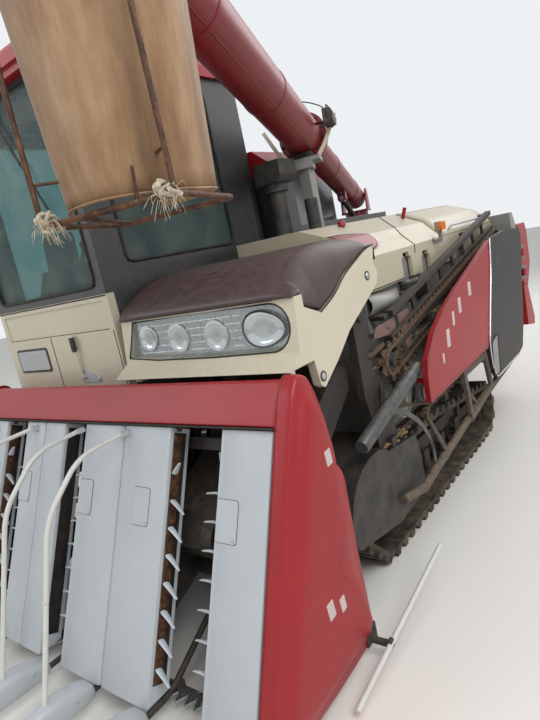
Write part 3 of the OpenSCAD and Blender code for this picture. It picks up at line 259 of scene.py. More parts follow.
@dataclass(frozen=True)
class SprayedPaint:
    """Sprayed enamel on pressed steel sheet: glossy, with fine orange peel, dust that settles low and chips."""

    name: str
    colour: str
    shade: str
    dust: str = "a8977b"
    dust_share: float = 0.35
    gloss: float = 0.28
    chip: str = "5b3a28"
    chip_share: float = 0.0
    chip_mm: float = 14.0
    peel_mm: float = 2.2
    peel_depth: float = 0.04
    blotch_mm: float = 260.0
    edge_mm: float = 5.0
    coat: float = 0.25

    def build(self) -> bpy.types.Material:
        """Builds the material.

        Returns:
            The paint's material.
        """
        recipe = Recipe(self.name)
        tone = recipe.blend(recipe.noise(self.blotch_mm, 5.0, 0.62), linear(self.colour), linear(self.shade))
        # Dust: more on faces that look up and close to the ground, broken up by a fine noise
        facing = recipe.part((add_node(recipe.tree, "ShaderNodeNewGeometry"), "Normal"), "Z")
        low = recipe.remap(recipe.part(recipe.where, "Z"), *DUST_HEIGHTS, *DUST_SHARES)
        grit = recipe.remap(recipe.noise(GRIT_MM, 8.0, 0.7), 0.42, 0.72, 0.1, 1.0)
        dusty = recipe.reckon("MULTIPLY", recipe.reckon("MAXIMUM", facing, low), grit)
        share = recipe.reckon("MULTIPLY", dusty, self.dust_share)
        colour = recipe.blend(share, tone, linear(self.dust))
        if self.chip_share > 0:
            spread = 0.2 * self.chip_share
            chips = recipe.remap(recipe.noise(self.chip_mm, 3.0), 0.74 - spread, 0.76 - spread)
            colour = recipe.blend(chips, colour, linear(self.chip))
        rough = recipe.remap(share, start=self.gloss, end=0.95)
        bump = recipe.bump(recipe.noise(self.peel_mm, 2.0), self.peel_depth, 0.5, self.edge_mm)
        return recipe.principled(
            {"Base Color": colour, "Roughness": rough, "Normal": bump},
            {"Coat Weight": self.coat, "Coat Roughness": 0.12},
        )


@dataclass(frozen=True)
class RustedSheet:
    """Mild steel sheet and rod left bare outdoors: matt brown rust in streaks that run down it."""

    name: str
    colours: tuple[str, str, str, str]
    streak_mm: float = 46.0
    streak_length: float = 7.0
    pit_mm: float = 5.0
    pit_depth: float = 0.35
    metallic: float = 0.25
    roughness: tuple[float, float] = (0.45, 0.85)

    def build(self) -> bpy.types.Material:
        """Builds the material.

        Returns:
            The rust's material.
        """
        recipe = Recipe(self.name)
        stretch = {"Scale": (1.0, 1.0, 1.0 / self.streak_length)}
        drawn = add_node(recipe.tree, "ShaderNodeMapping", {"Vector": recipe.where}, stretch)
        streak = recipe.noise(self.streak_mm, 8.0, 0.68, (drawn, "Vector"))
        colour = recipe.ramp(streak, [(p, linear(c)) for p, c in zip(RUST_STOPS, self.colours)])
        pits = recipe.noise(self.pit_mm, 6.0, 0.7)
        rough = recipe.remap(pits, 0.3, 0.7, *self.roughness)
        bump = recipe.bump(pits, self.pit_depth, 1.2)
        return recipe.principled(
            {"Base Color": colour, "Roughness": rough, "Normal": bump}, {"Metallic": self.metallic}
        )


@dataclass(frozen=True)
class MouldedRubber:
    """Moulded black rubber or plastic: matt and finely grained, grey with dried soil in its hollows."""

    name: str
    colour: str = "1d1d1e"
    soil: str = "7a6a54"
    soil_share: float = 0.5
    grain_mm: float = 3.0
    roughness: float = 0.75
    edge_mm: float = 4.0

    def build(self) -> bpy.types.Material:
        """Builds the material.

        Returns:
            The rubber's material.
        """
        recipe = Recipe(self.name)
        soiled = recipe.remap(recipe.noise(SOIL_MM, 9.0, 0.72), 0.40, 0.66, 0.0, self.soil_share)
        colour = recipe.blend(soiled, linear(self.colour), linear(self.soil))
        bump = recipe.bump(recipe.noise(self.grain_mm, 3.0), 0.25, 0.8, self.edge_mm)
        return recipe.principled({"Base Color": colour, "Normal": bump}, {"Roughness": self.roughness})


@dataclass(frozen=True)
class WornSteel:
    """Rolled or turned steel, rubbed bright in use, with brown oxide and soil where nothing rubs it."""

    name: str
    bright: str = "a3a5a8"
    oxide: str = "6a5340"
    oxide_share: float = 0.5
    patch_mm: float = 30.0
    roughness: tuple[float, float] = (0.25, 0.7)

    def build(self) -> bpy.types.Material:
        """Builds the material.

        Returns:
            The steel's material.
        """
        recipe = Recipe(self.name)
        patch = recipe.noise(self.patch_mm, 7.0, 0.7)
        low = 0.72 - 0.34 * self.oxide_share
        dull = recipe.remap(patch, low - 0.08, low + 0.1)
        return recipe.principled({
            "Base Color": recipe.blend(dull, linear(self.bright), linear(self.oxide)),
            "Metallic": recipe.remap(dull, start=0.9, end=0.1),
            "Roughness": recipe.remap(dull, 0.0, 1.0, *self.roughness),
            "Normal": recipe.bump(patch, 0.2, 0.6),
        })


@dataclass(frozen=True)
class TintedGlass:
    """Float glass or clear moulded lens: sharp reflections over a thin tint, and a film of dust."""

    name: str
    tint: str
    density: float
    roughness: float = 0.02
    ior: float = 1.45
    film: str = "c9c2b2"
    film_share: float = 0.06

    def build(self) -> bpy.types.Material:
        """Builds the material.

        Returns:
            The glass's material.
        """
        recipe = Recipe(self.name)
        tree, tint = recipe.tree, linear(self.tint)
        film = recipe.remap(recipe.noise(SMEAR_MM, 2.0, 0.4), 0.4, 0.75, 0.0, self.film_share * 3)
        clear = add_node(tree, "ShaderNodeBsdfTransparent", values={"Color": tint})
        polish = {"Base Color": tint, "Roughness": self.roughness, "IOR": self.ior}
        body = add_node(tree, "ShaderNodeBsdfPrincipled", values=polish)
        dirt = add_node(tree, "ShaderNodeBsdfDiffuse", values={"Color": linear(self.film)})
        pane = add_node(
            tree, "ShaderNodeMixShader", {1: (clear, "BSDF"), 2: (body, "BSDF")}, {"Fac": self.density}
        )
        mixed = add_node(tree, "ShaderNodeMixShader", {"Fac": film, 1: (pane, "Shader"), 2: (dirt, "BSDF")})
        return recipe.close((mixed, "Shader"))


@dataclass(frozen=True)
class WovenCloth:
    """Woven upholstery cloth or twisted fibre: matt, with a thread pattern and soft sheen."""

    name: str
    colour: str
    thread_mm: float = 2.0
    sheen: float = 0.4

    def build(self) -> bpy.types.Material:
        """Builds the material.

        Returns:
            The cloth's material.
        """
        recipe = Recipe(self.name)
        threads = {"Scale": 1000 / self.thread_mm / 20}
        warp, weft = (
            add_node(recipe.tree, "ShaderNodeTexWave", {"Vector": recipe.where}, threads, bands_direction=axis)
            for axis in "XZ"
        )
        weave = recipe.reckon("MULTIPLY", (warp, "Fac"), (weft, "Fac"))
        base = linear(self.colour)
        dark = (base[0] * 0.6, base[1] * 0.6, base[2] * 0.6, 1.0)
        colour = recipe.ramp(weave, [(0.0, dark), (1.0, base)])
        bump = recipe.bump(weave, 0.4, 0.6)
        return recipe.principled(
            {"Base Color": colour, "Normal": bump}, {"Roughness": 0.9, "Sheen Weight": self.sheen}
        )


class Finish(Enum):
    """Every finish on the machine."""

    # Sprayed red enamel: deep and glossy, a little chalky where the sun reaches it
    RED = SprayedPaint("red_enamel", "a20d1b", "880a16", dust_share=0.05, gloss=0.42, coat=0.04)
    # The tube's enamel is older: darker and duller
    TUBE_RED = SprayedPaint(
        "aged_red_enamel", "86131f", "6a0e19", dust_share=0.20, gloss=0.40, chip_share=0.15, coat=0.08
    )
    # Cream enamel: warm off-white, soft gloss, dusty on top
    CREAM = SprayedPaint("cream_enamel", "cfc8b4", "c2b9a2", dust_share=0.36, gloss=0.36, coat=0.12)
    # Pale grey enamel on the tine cases: satin
    PALE_GREY = SprayedPaint("pale_grey_enamel", "bcc2c6", "aab1b6", dust_share=0.16, gloss=0.36, coat=0.1)
    # Mid grey enamel on the threshing body, caked with dust
    BODY_GREY = SprayedPaint("grey_enamel", "8c8e8d", "737270", dust_share=0.8, gloss=0.5, chip_share=0.35)
    # Dark grey enamel on frames and tank
    DARK = SprayedPaint("dark_grey_enamel", "34363a", "292a2d", dust_share=0.45, gloss=0.42)
    # Black enamel on the chassis, soiled and rusting
    CHASSIS = SprayedPaint(
        "black_enamel", "2b2928", "1d1c1c", dust="6b5a45", dust_share=0.60, gloss=0.6, chip_share=0.2, chip_mm=7.0,
        coat=0.0,
    )
    # Dark brown-black moulded cover, bleached by the sun
    BROWN = SprayedPaint(
        "brown_black_plastic", "43302b", "36262a", dust="7a6455", dust_share=0.30, gloss=0.42, coat=0.05, peel_mm=4.0,
        peel_depth=0.10,
    )
    BLACK_PLASTIC = MouldedRubber("black_abs", "202124", soil_share=0.25, roughness=0.55)
    TRACK = MouldedRubber("track_rubber", "222120", soil_share=0.75, grain_mm=5.0, roughness=0.85)
    SEAL = MouldedRubber("window_seal_rubber", "121213", soil_share=0.15, grain_mm=2.0)
    RUST = RustedSheet("rusted_mild_steel", ("5a3c26", "7c5636", "9a714a", "b08a62"))
    DARK_RUST = RustedSheet(
        "dark_rusted_steel", ("32231a", "4b3223", "67452e", "82603f"), streak_mm=20, streak_length=2
    )
    CHAIN = WornSteel("chain_steel", "8b8279", "5a412c", oxide_share=0.9, patch_mm=16)
    STEEL = WornSteel("rubbed_steel", "c2c4c6", "8a7a68", oxide_share=0.25)
    CAST = WornSteel("cast_iron_soiled", "4a4642", "5c4a36", oxide_share=0.8, roughness=(0.55, 0.9))
    WINDOW = TintedGlass("tinted_float_glass", "bcd2d2", 0.10, film_share=0.03)
    LENS = TintedGlass("clear_polycarbonate_lens", "f4f6f6", 0.05, film_share=0.03)
    AMBER = TintedGlass("amber_acrylic", "ef7d12", 0.75)
    SEAT = WovenCloth("seat_cloth", "3b3c40")
    CORD = WovenCloth("frayed_cord", "d8c7ae", thread_mm=3.0)
    # White nylon of the tines and white enamel of the guide rods, rubbed by straw
    NYLON = MouldedRubber("tine_nylon", "c3cad2", soil="8d8674", soil_share=0.35, roughness=0.45, edge_mm=2.0)
    ROD_WHITE = SprayedPaint(
        "white_enamel_rod", "dcdcd8", "cbcac4", dust_share=0.2, chip_share=0.15, chip_mm=9.0, edge_mm=2.0
    )
    # Chromed reflector bowls
    CHROME = WornSteel("chromed_reflector", "e6e8ea", "b8b4ac", oxide_share=0.05, roughness=(0.08, 0.2))
    # Grey enamel on the front strut and its guard hoop, rubbed and dusty
    GREY_TUBE = SprayedPaint(
        "blue_grey_enamel", "3f4448", "2e3134", dust_share=0.40, gloss=0.42, chip_share=0.25, chip_mm=8.0
    )
    # Red enamel that the sun has bleached to a dull pink
    FADED_RED = SprayedPaint(
        "bleached_red_enamel", "6d4c4a", "5a403f", dust_share=0.6, gloss=0.6, chip_share=0.3, chip_mm=7.0
    )
    # Cream enamel of the threshing cover, which stands in full sun: a copy of the cream painted darker than CREAM, as
    # painted shade that holds the brightly lit cover down
    COVER_CREAM_PAINTED_SHADE = SprayedPaint("cream_enamel_painted_shade", "b8af98", "aba189", dust_share=0.36, gloss=0.40, coat=0.08)
    # Dark enamel with a cherry cast on the rear side panel, and the dusty paint of the frames below it
    CHERRY = SprayedPaint("cherry_black_enamel", "1d151c", "151015", dust_share=0.12, gloss=0.50, coat=0.0)
    DUSTY = SprayedPaint(
        "dusty_black_enamel", "4a4642", "38342f", dust="93795a", dust_share=0.85, gloss=0.6, chip_share=0.25,
        chip_mm=7.0, coat=0.0,
    )
    # Chopped straw, and dried paddy soil
    STRAW = WovenCloth("dry_straw", "c2a46c", thread_mm=6.0, sheen=0.1)
    SOIL = MouldedRubber("dried_soil", "7a644b", soil="8f775a", soil_share=0.6, grain_mm=4.0, roughness=0.95)
    # Plates that are bare of lettering
    PLATE = SprayedPaint("bare_plate", "cdbabd", "c2aeb2", dust_share=0.2, gloss=0.4, edge_mm=1.0)
    # Tan sheet of the chute: a rusted, sun-bleached skin with soft vertical streaks
    TAN_SHEET = RustedSheet(
        "weathered_tan_sheet", ("6f5238", "8b6a49", "a08060", "b59878"), streak_mm=120, streak_length=5, pit_mm=3.0,
        pit_depth=0.12, metallic=0.1, roughness=(0.42, 0.62),
    )


# Each finish, and the CAD nodes that have it
FINISH_NODES: dict[Finish, tuple[str, ...]] = {
    Finish.CHASSIS: (
        "chassis_frame", "undercarriage_left", "undercarriage_right", "feed_rail", "steps", "header_frame",
        "conveyor", "lift_barrel", "boom_barrel",
    ),
    Finish.CAST: ("gearbox", "engine_block"),
    Finish.TRACK: ("track_left", "track_right"),
    Finish.BODY_GREY: ("thresher_body", "auger_post"),
    # The threshing cover takes the darker copy of the cream, which holds painted shade
    Finish.COVER_CREAM_PAINTED_SHADE: ("thresher_cover",),
    Finish.CHAIN: ("feed_chain",),
    Finish.RED: ("side_cover_red", "tank_lid", "cab_roof", "straw_cutter", "header_top_bar", "header_sides"),
    Finish.CHERRY: ("side_cover_rear",),
    Finish.DUSTY: ("side_guard",),
    Finish.BLACK_PLASTIC: ("track_fender", "intake", "console", "mirrors", "auger_lamp"),
    Finish.DARK: ("grain_tank", "cab_floor", "cab_frame", "door_frame", "screen_door"),
    Finish.CREAM: ("cab_front_panel", "engine_cover", "lamp_cover"),
    Finish.WINDOW: ("cab_glass", "door_glass"),
    Finish.SEAT: ("seat",),
    Finish.AMBER: ("side_lamp",),
    Finish.PALE_GREY: ("tine_cases", "dividers"),
    Finish.STEEL: ("tines", "knife_bar", "lift_rod", "boom_rod"),
    Finish.LENS: ("lamp_lens",),
    Finish.BROWN: ("header_top_cover",),
    Finish.TUBE_RED: ("auger_turret", "auger_tube"),
    Finish.RUST: ("auger_spout",),
}
NODE_FINISH = {node: finish for finish, nodes in FINISH_NODES.items() for node in nodes}

MATERIALS: dict[Finish, bpy.types.Material] = {}


def material_of(finish: Finish) -> bpy.types.Material:
    """Builds a finish's material once and keeps it.

    Args:
        finish: The finish wanted.

    Returns:
        Its material.
    """
    if finish not in MATERIALS:
        MATERIALS[finish] = finish.value.build()
    return MATERIALS[finish]


def dress(nodes: dict[str, bpy.types.Object]) -> None:
    """Gives every CAD node its finish.

    Args:
        nodes: CAD node name to its object.
    """
    for name, obj in nodes.items():
        obj.data.materials.clear()
        obj.data.materials.append(material_of(NODE_FINISH[name]))


# Studio


@dataclass
class Studio:
    """Floor, light and the camera at the photograph's viewpoint."""

    stand: Point = (2.17, -2.87, 1.65)
    heading_deg: float = 38.9
    pitch_deg: float = 10.8
    roll_deg: float = 12.1
    focal_px: float = 555.0
    frame_px: tuple[int, int] = (540, 720)
    sensor_mm: float = 36.0
    floor_half: float = 30.0
    floor_colour: str = "e6e3dd"
    sky_colour: str = "eef1f4"
    sky_strength: float = 0.62
    # Lamps: [place, watts, size]
    lamps: tuple[tuple[Point, float, float], ...] = (
        ((6.5, -3.5, 7.5), 500.0, 5.0), ((-5.5, -6.5, 6.0), 170.0, 5.0), ((2.0, 7.0, 6.0), 200.0, 5.0),
    )

    def aim(self) -> Matrix:
        """Works out the camera's place and axes from its heading, pitch and roll.

        Returns:
            The camera's world matrix.
        """
        head, pitch, roll = (radians(v) for v in (self.heading_deg, self.pitch_deg, self.roll_deg))
        forward = Vector((-sin(head) * cos(pitch), cos(head) * cos(pitch), -sin(pitch)))
        level = Vector((cos(head), sin(head), 0.0))
        upright = level.cross(forward)
        up = upright * cos(roll) + level * sin(roll)
        right = level * cos(roll) - upright * sin(roll)
        turn = Matrix((right, up, -forward)).transposed().to_4x4()
        return Matrix.Translation(self.stand) @ turn

    def add_camera(self) -> None:
        """Adds the camera and makes it the scene's."""
        data = bpy.data.cameras.new("camera")
        data.lens = self.focal_px / max(self.frame_px) * self.sensor_mm
        data.sensor_width = self.sensor_mm
        data.clip_end = 200.0
        camera = bpy.data.objects.new("camera", data)
        camera.matrix_world = self.aim()
        bpy.context.scene.collection.objects.link(camera)
        bpy.context.scene.camera = camera

    def add_floor(self) -> None:
        """Adds the plain pale floor."""
        mesh = bpy.data.meshes.new("floor")
        half = self.floor_half
        mesh.from_pydata([(-half, -half, 0), (half, -half, 0), (half, half, 0), (-half, half, 0)], [], [(0, 1, 2, 3)])
        floor = bpy.data.objects.new("floor", mesh)
        bpy.context.scene.collection.objects.link(floor)
        mesh.materials.append(
            Recipe("pale_floor").principled({}, {"Base Color": linear(self.floor_colour), "Roughness": 0.9})
        )

    def add_light(self) -> None:
        """Adds the pale world and the soft lamps."""
        world = bpy.data.worlds.new("studio")
        bpy.context.scene.world = world
        world.use_nodes = True
        tree = world.node_tree
        tree.nodes.clear()
        out = add_node(tree, "ShaderNodeOutputWorld")
        rays = add_node(tree, "ShaderNodeLightPath")
        seen = add_node(
            tree, "ShaderNodeMath", {0: (rays, "Is Camera Ray"), 1: (rays, "Is Glossy Ray")}, operation="MAXIMUM"
        )
        through = add_node(
            tree, "ShaderNodeMath", {0: (seen, 0), 1: (rays, "Is Transmission Ray")}, operation="MAXIMUM"
        )
        level = add_node(
            tree, "ShaderNodeMapRange", {"Value": (through, 0)}, {"To Min": self.sky_strength, "To Max": 1.0}
        )
        sky = add_node(
            tree, "ShaderNodeBackground", {"Strength": (level, "Result")}, {"Color": linear(self.sky_colour)}
        )
        tree.links.new(sky.outputs["Background"], out.inputs["Surface"])
        for place, watts, size in self.lamps:
            data = bpy.data.lights.new("softbox", "AREA")
            data.energy, data.size = watts, size
            lamp = bpy.data.objects.new("softbox", data)
            lamp.location = place
            lamp.rotation_euler = (Vector((0, 0, 1.0)) - Vector(place)).to_track_quat("-Z", "Y").to_euler()
            bpy.context.scene.collection.objects.link(lamp)

    def build(self) -> None:
        """Builds the whole studio."""
        self.add_camera()
        self.add_floor()
        self.add_light()
        bpy.context.scene.view_settings.view_transform = "Standard"


# Sheet-metal shop


def rounded(route: Sequence[Point], reach: float, steps: int = 5) -> list[Vector]:
    """Rounds each corner of a route.

    Args:
        route: The corner points.
        reach: How far before a corner its bend starts.
        steps: Points along each bend.

    Returns:
        The points of the smooth route.
    """
    points = [Vector(p) for p in route]
    out = [points[0]]
    for a, b, c in zip(points, points[1:], points[2:]):
        short = min(reach, (b - a).length * 0.48, (c - b).length * 0.48)
        p, q = b + (a - b).normalized() * short, b + (c - b).normalized() * short
        for k in range(steps + 1):
            t = k / steps
            out.append((1 - t) ** 2 * p + 2 * t * (1 - t) * b + t * t * q)
    out.append(points[-1])
    return out


def angles(count: int) -> list[float]:
    """Gives evenly spaced angles round a circle."""
    return [tau * k / count for k in range(count)]


def power(value: float, exponent: float) -> float:
    """Raises a value's size to an exponent and keeps its sign."""
    return copysign(abs(value) ** exponent, value)


def ring_section(radius: float, sides: int = 12) -> list[tuple[float, float]]:
    """Gives a circle as a closed section.

    Args:
        radius: Its radius.
        sides: Its number of sides.

    Returns:
        The section's points.
    """
    return [(radius * cos(a), radius * sin(a)) for a in angles(sides)]


def flat_section(wide: float, thick: float) -> list[tuple[float, float]]:
    """Gives a flat bar's section from its half width and half thickness."""
    return [(-wide, -thick), (wide, -thick), (wide, thick), (-wide, thick)]


def rounded_loop(outline: Outline, reach: float, steps: int = 4) -> list[tuple[float, float]]:
    """Rounds every corner of a closed outline.

    Args:
        outline: The corners.
        reach: How far before a corner its bend starts.
        steps: Points along each bend.

    Returns:
        The points of the smooth outline.
    """
    points = [Vector((a, b, 0)) for a, b in outline]
    out: list[tuple[float, float]] = []
    for i, b in enumerate(points):
        a, c = points[i - 1], points[(i + 1) % len(points)]
        short = min(reach, (b - a).length * 0.45, (c - b).length * 0.45)
        p, q = b + (a - b).normalized() * short, b + (c - b).normalized() * short
        for k in range(steps + 1):
            t = k / steps
            r = (1 - t) ** 2 * p + 2 * t * (1 - t) * b + t * t * q
            out.append((r.x, r.y))
    return out


def drawn_in(outline: Outline, inset: float, centre: tuple[float, float]) -> list[tuple[float, float]]:
    """Draws each point of an outline in towards a centre by a real distance."""
    out = []
    for a, b in outline:
        away = Vector((a - centre[0], b - centre[1]))
        size = away.length
        away *= max(0.0, size - inset) / size if size > 1e-9 else 0.0
        out.append((centre[0] + away.x, centre[1] + away.y))
    return out


def rounded_box(low: tuple[float, float], high: tuple[float, float], reach: float) -> list[tuple[float, float]]:
    """Gives a rectangle with rounded corners from two opposite corners."""
    (a0, b0), (a1, b1) = low, high
    return rounded_loop([(a0, b0), (a1, b0), (a1, b1), (a0, b1)], reach)


def drawn(rng: random.Random, *spans: tuple[float, float]) -> Vector:
    """Draws a vector, part by part, from the spans given."""
    return Vector([rng.uniform(low, high) for low, high in spans])


def frame_matrix(at: Point, along: Point, up: Point = (0.0, 0.0, 1.0)) -> Matrix:
    """Makes a frame whose Z runs along a direction.

    Args:
        at: The frame's origin.
        along: Direction of local +Z.
        up: Direction that local +Y leans to.

    Returns:
        The frame's matrix.
    """
    z = Vector(along).normalized()
    x = Vector(up).cross(z)
    x = z.orthogonal() if x.length < 1e-6 else x
    x.normalize()
    turn = Matrix((x, z.cross(x), z)).transposed().to_4x4()
    return Matrix.Translation(at) @ turn


class Blank:
    """A mesh while it is being made, in metres."""

    def __init__(self, place: Matrix | None = None) -> None:
        """Starts an empty mesh.

        Args:
            place: Frame that each new shape is made in.
        """
        self.mesh = bmesh.new()
        self.place = place or Matrix.Identity(4)

    def points(self, row: Iterable[Sequence[float]]) -> list[bmesh.types.BMVert]:
        """Adds a row of points."""
        return [self.mesh.verts.new(self.place @ Vector(p)) for p in row]

    def face(self, verts: Sequence[bmesh.types.BMVert]) -> None:
        """Adds a face unless its points coincide."""
        if len(set(verts)) > 2:
            try:
                self.mesh.faces.new(verts)
            except ValueError:
                pass

    def skin(self, rows: Sequence[Sequence[Sequence[float]]], loop: bool = False, ring: bool = False) -> Blank:
        """Joins rows of points into a surface.

        Args:
            rows: Rows with the same number of points.
            loop: Whether the last row joins the first.
            ring: Whether each row closes on itself.

        Returns:
            This mesh.
        """
        made = [self.points(row) for row in rows]
        count = len(made[0])
        for i in range(len(made) if loop else len(made) - 1):
            a, b = made[i], made[(i + 1) % len(made)]
            for k in range(count if ring else count - 1):
                self.face([a[k], a[(k + 1) % count], b[(k + 1) % count], b[k]])
        if ring and not loop:
            self.face(list(reversed(made[0])))
            self.face(made[-1])
        return self

    def sweep(
        self, path: Sequence[Sequence[float]], section: Outline,
        up: Point = (0.0, 0.0, 1.0), loop: bool = False, scale: Callable[[float], float] | None = None,
    ) -> Blank:
        """Runs a closed section along a path.

        Args:
            path: Points of the path.
            section: The section's points, as (sideways, up).
            up: Direction that the section's second axis leans to.
            loop: Whether the path closes.
            scale: Size of the section at each share of the path.

        Returns:
            This mesh.
        """
        points = [Vector(p) for p in path]
        count = len(points)
        rows, side = [], None
        for i, point in enumerate(points):
            before = points[i - 1] if i or loop else point
            after = points[(i + 1) % count] if i < count - 1 or loop else point
            run = (after - before).normalized()
            if side is None:
                side = run.cross(Vector(up))
                side = run.orthogonal() if side.length < 1e-5 else side
            side = (side - run * side.dot(run)).normalized()
            lift = side.cross(run)
            grow = scale(i / max(1, count - 1)) if scale else 1.0
            rows.append([point + side * (a * grow) + lift * (b * grow) for a, b in section])
        return self.skin(rows, loop=loop, ring=True)

    def rod(self, route: Sequence[Point], radius: float, reach: float = 0.04, sides: int = 10) -> Blank:
        """Bends a round rod along a route."""
        return self.sweep(rounded(route, reach), ring_section(radius, sides))

    def block(self, low: Point, high: Point) -> Blank:
        """Adds a flat-sided bar between two corners, for bevelling later."""
        (x0, y0, z0), (x1, y1, z1) = low, high
        rows = [[(x0, y0, z), (x1, y0, z), (x1, y1, z), (x0, y1, z)] for z in (z0, z1)]
        return self.skin(rows, ring=True)

    def through(self, section: Outline, stations: Sequence[float], axis: str = "x", ring: bool = False) -> Blank:
        """Carries a section along an axis.

        Args:
            section: The section in the two other axes, in their own order.
            stations: Where it stands along the axis.
            axis: The axis.
            ring: Whether the section closes on itself.

        Returns:
            This mesh.
        """
        lift = {
            "x": lambda a, b, c: (c, a, b), "y": lambda a, b, c: (a, c, b), "z": lambda a, b, c: (a, b, c),
        }[axis]
        return self.skin([[lift(a, b, c) for a, b in section] for c in stations], ring=ring)

    def plate(self, outline: Outline, low: float, high: float, axis: str = "x") -> Blank:
        """Cuts a flat plate to an outline.

        Args:
            outline: Outline in the two other axes, in their own order.
            low: Where the plate starts along its axis.
            high: Where it ends.
            axis: The axis across the plate.

        Returns:
            This mesh.
        """
        return self.through(outline, (low, high), axis, ring=True)

    def turned(self, profile: Outline, place: Matrix, sides: int = 28) -> Blank:
        """Turns a profile about a frame's Z.

        Args:
            profile: Radius and height of each point, from one end to the other.
            place: The frame.
            sides: Number of sides.

        Returns:
            This mesh.
        """
        keep, self.place = self.place, self.place @ place
        rows = [
            [(r * cos(a), r * sin(a), h) for a in angles(sides)]
            for r, h in profile
        ]
        self.skin(rows, ring=True)
        self.place = keep
        return self

    def knob(self, profile: Outline, at: Point, along: Point, sides: int) -> Blank:
        """Turns a profile about an axis that starts at a point."""
        return self.turned(profile, frame_matrix(at, along), sides)

    def bolts(self, spots: Sequence[Point], along: Point, radius: float = 0.009, head: float = 0.007) -> Blank:
        """Adds hexagon bolt heads on their washers."""
        for spot in spots:
            washer = radius * 1.45
            self.knob([(washer, 0.0), (washer, 0.002)], spot, along, 16)
            self.knob([(radius, 0.002), (radius, head * 0.8), (radius * 0.85, head)], spot, along, 6)
        return self

    def piece(
        self, name: str, body: str, finish: Finish, *, bevel: float = 0.0, rounds: int = 0, thick: float = 0.0,
        smooth: float = 32.0, stands_for: Sequence[str] = (),
    ) -> bpy.types.Object:
        """Turns the mesh into a dressed piece of the machine.

        Args:
            name: The piece's name.
            body: CAD body that it rides on.
            finish: Its finish.
            bevel: Width of its rounded edges.
            rounds: Levels of subdivision.
            thick: Thickness of a sheet that was made as a surface.
            smooth: Angle up to which faces shade smoothly, in degrees.
            stands_for: CAD nodes that it is shown in place of.

        Returns:
            The piece.
        """
        bmesh.ops.remove_doubles(self.mesh, verts=self.mesh.verts, dist=1e-5)
        bmesh.ops.recalc_face_normals(self.mesh, faces=self.mesh.faces)
        data = bpy.data.meshes.new(name)
        self.mesh.to_mesh(data)
        self.mesh.free()
        data.shade_smooth()
        data.set_sharp_from_angle(angle=radians(smooth))
        data.materials.append(material_of(finish))
        piece = bpy.data.objects.new(name, data)
        bpy.context.scene.collection.objects.link(piece)
        if thick:
            shell = piece.modifiers.new("thickness", "SOLIDIFY")
            shell.thickness, shell.offset = thick, -1.0
        if bevel:
            edge = piece.modifiers.new("edge", "BEVEL")
            edge.width, edge.segments, edge.limit_method = bevel, 3, "ANGLE"
            edge.angle_limit = radians(smooth)
            edge.harden_normals = True
        if rounds:
            soft = piece.modifiers.new("rounding", "SUBSURF")
            soft.levels = soft.render_levels = rounds
        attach(piece, body)
        if stands_for:
            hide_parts(*stands_for)
        LOG.info("%s: %d faces", name, len(data.polygons))
        return piece


# Frames of the machine's sloping parts, in metres
FACE_LEAN = radians(25)
FACE = Matrix.Translation((0, -1.900, 0.150)) @ Matrix.Rotation(-FACE_LEAN, 4, "X")
BOOM_TURN, BOOM_RISE = radians(19), radians(11)
BOOM_BASE = Vector((-0.330, 1.950, 1.975))
BOOM = Matrix.Translation(BOOM_BASE) @ Matrix.Rotation(BOOM_TURN - pi / 2, 4, "Z")
BOOM = BOOM @ Matrix.Rotation(-BOOM_RISE, 4, "Y")


# Unloading auger


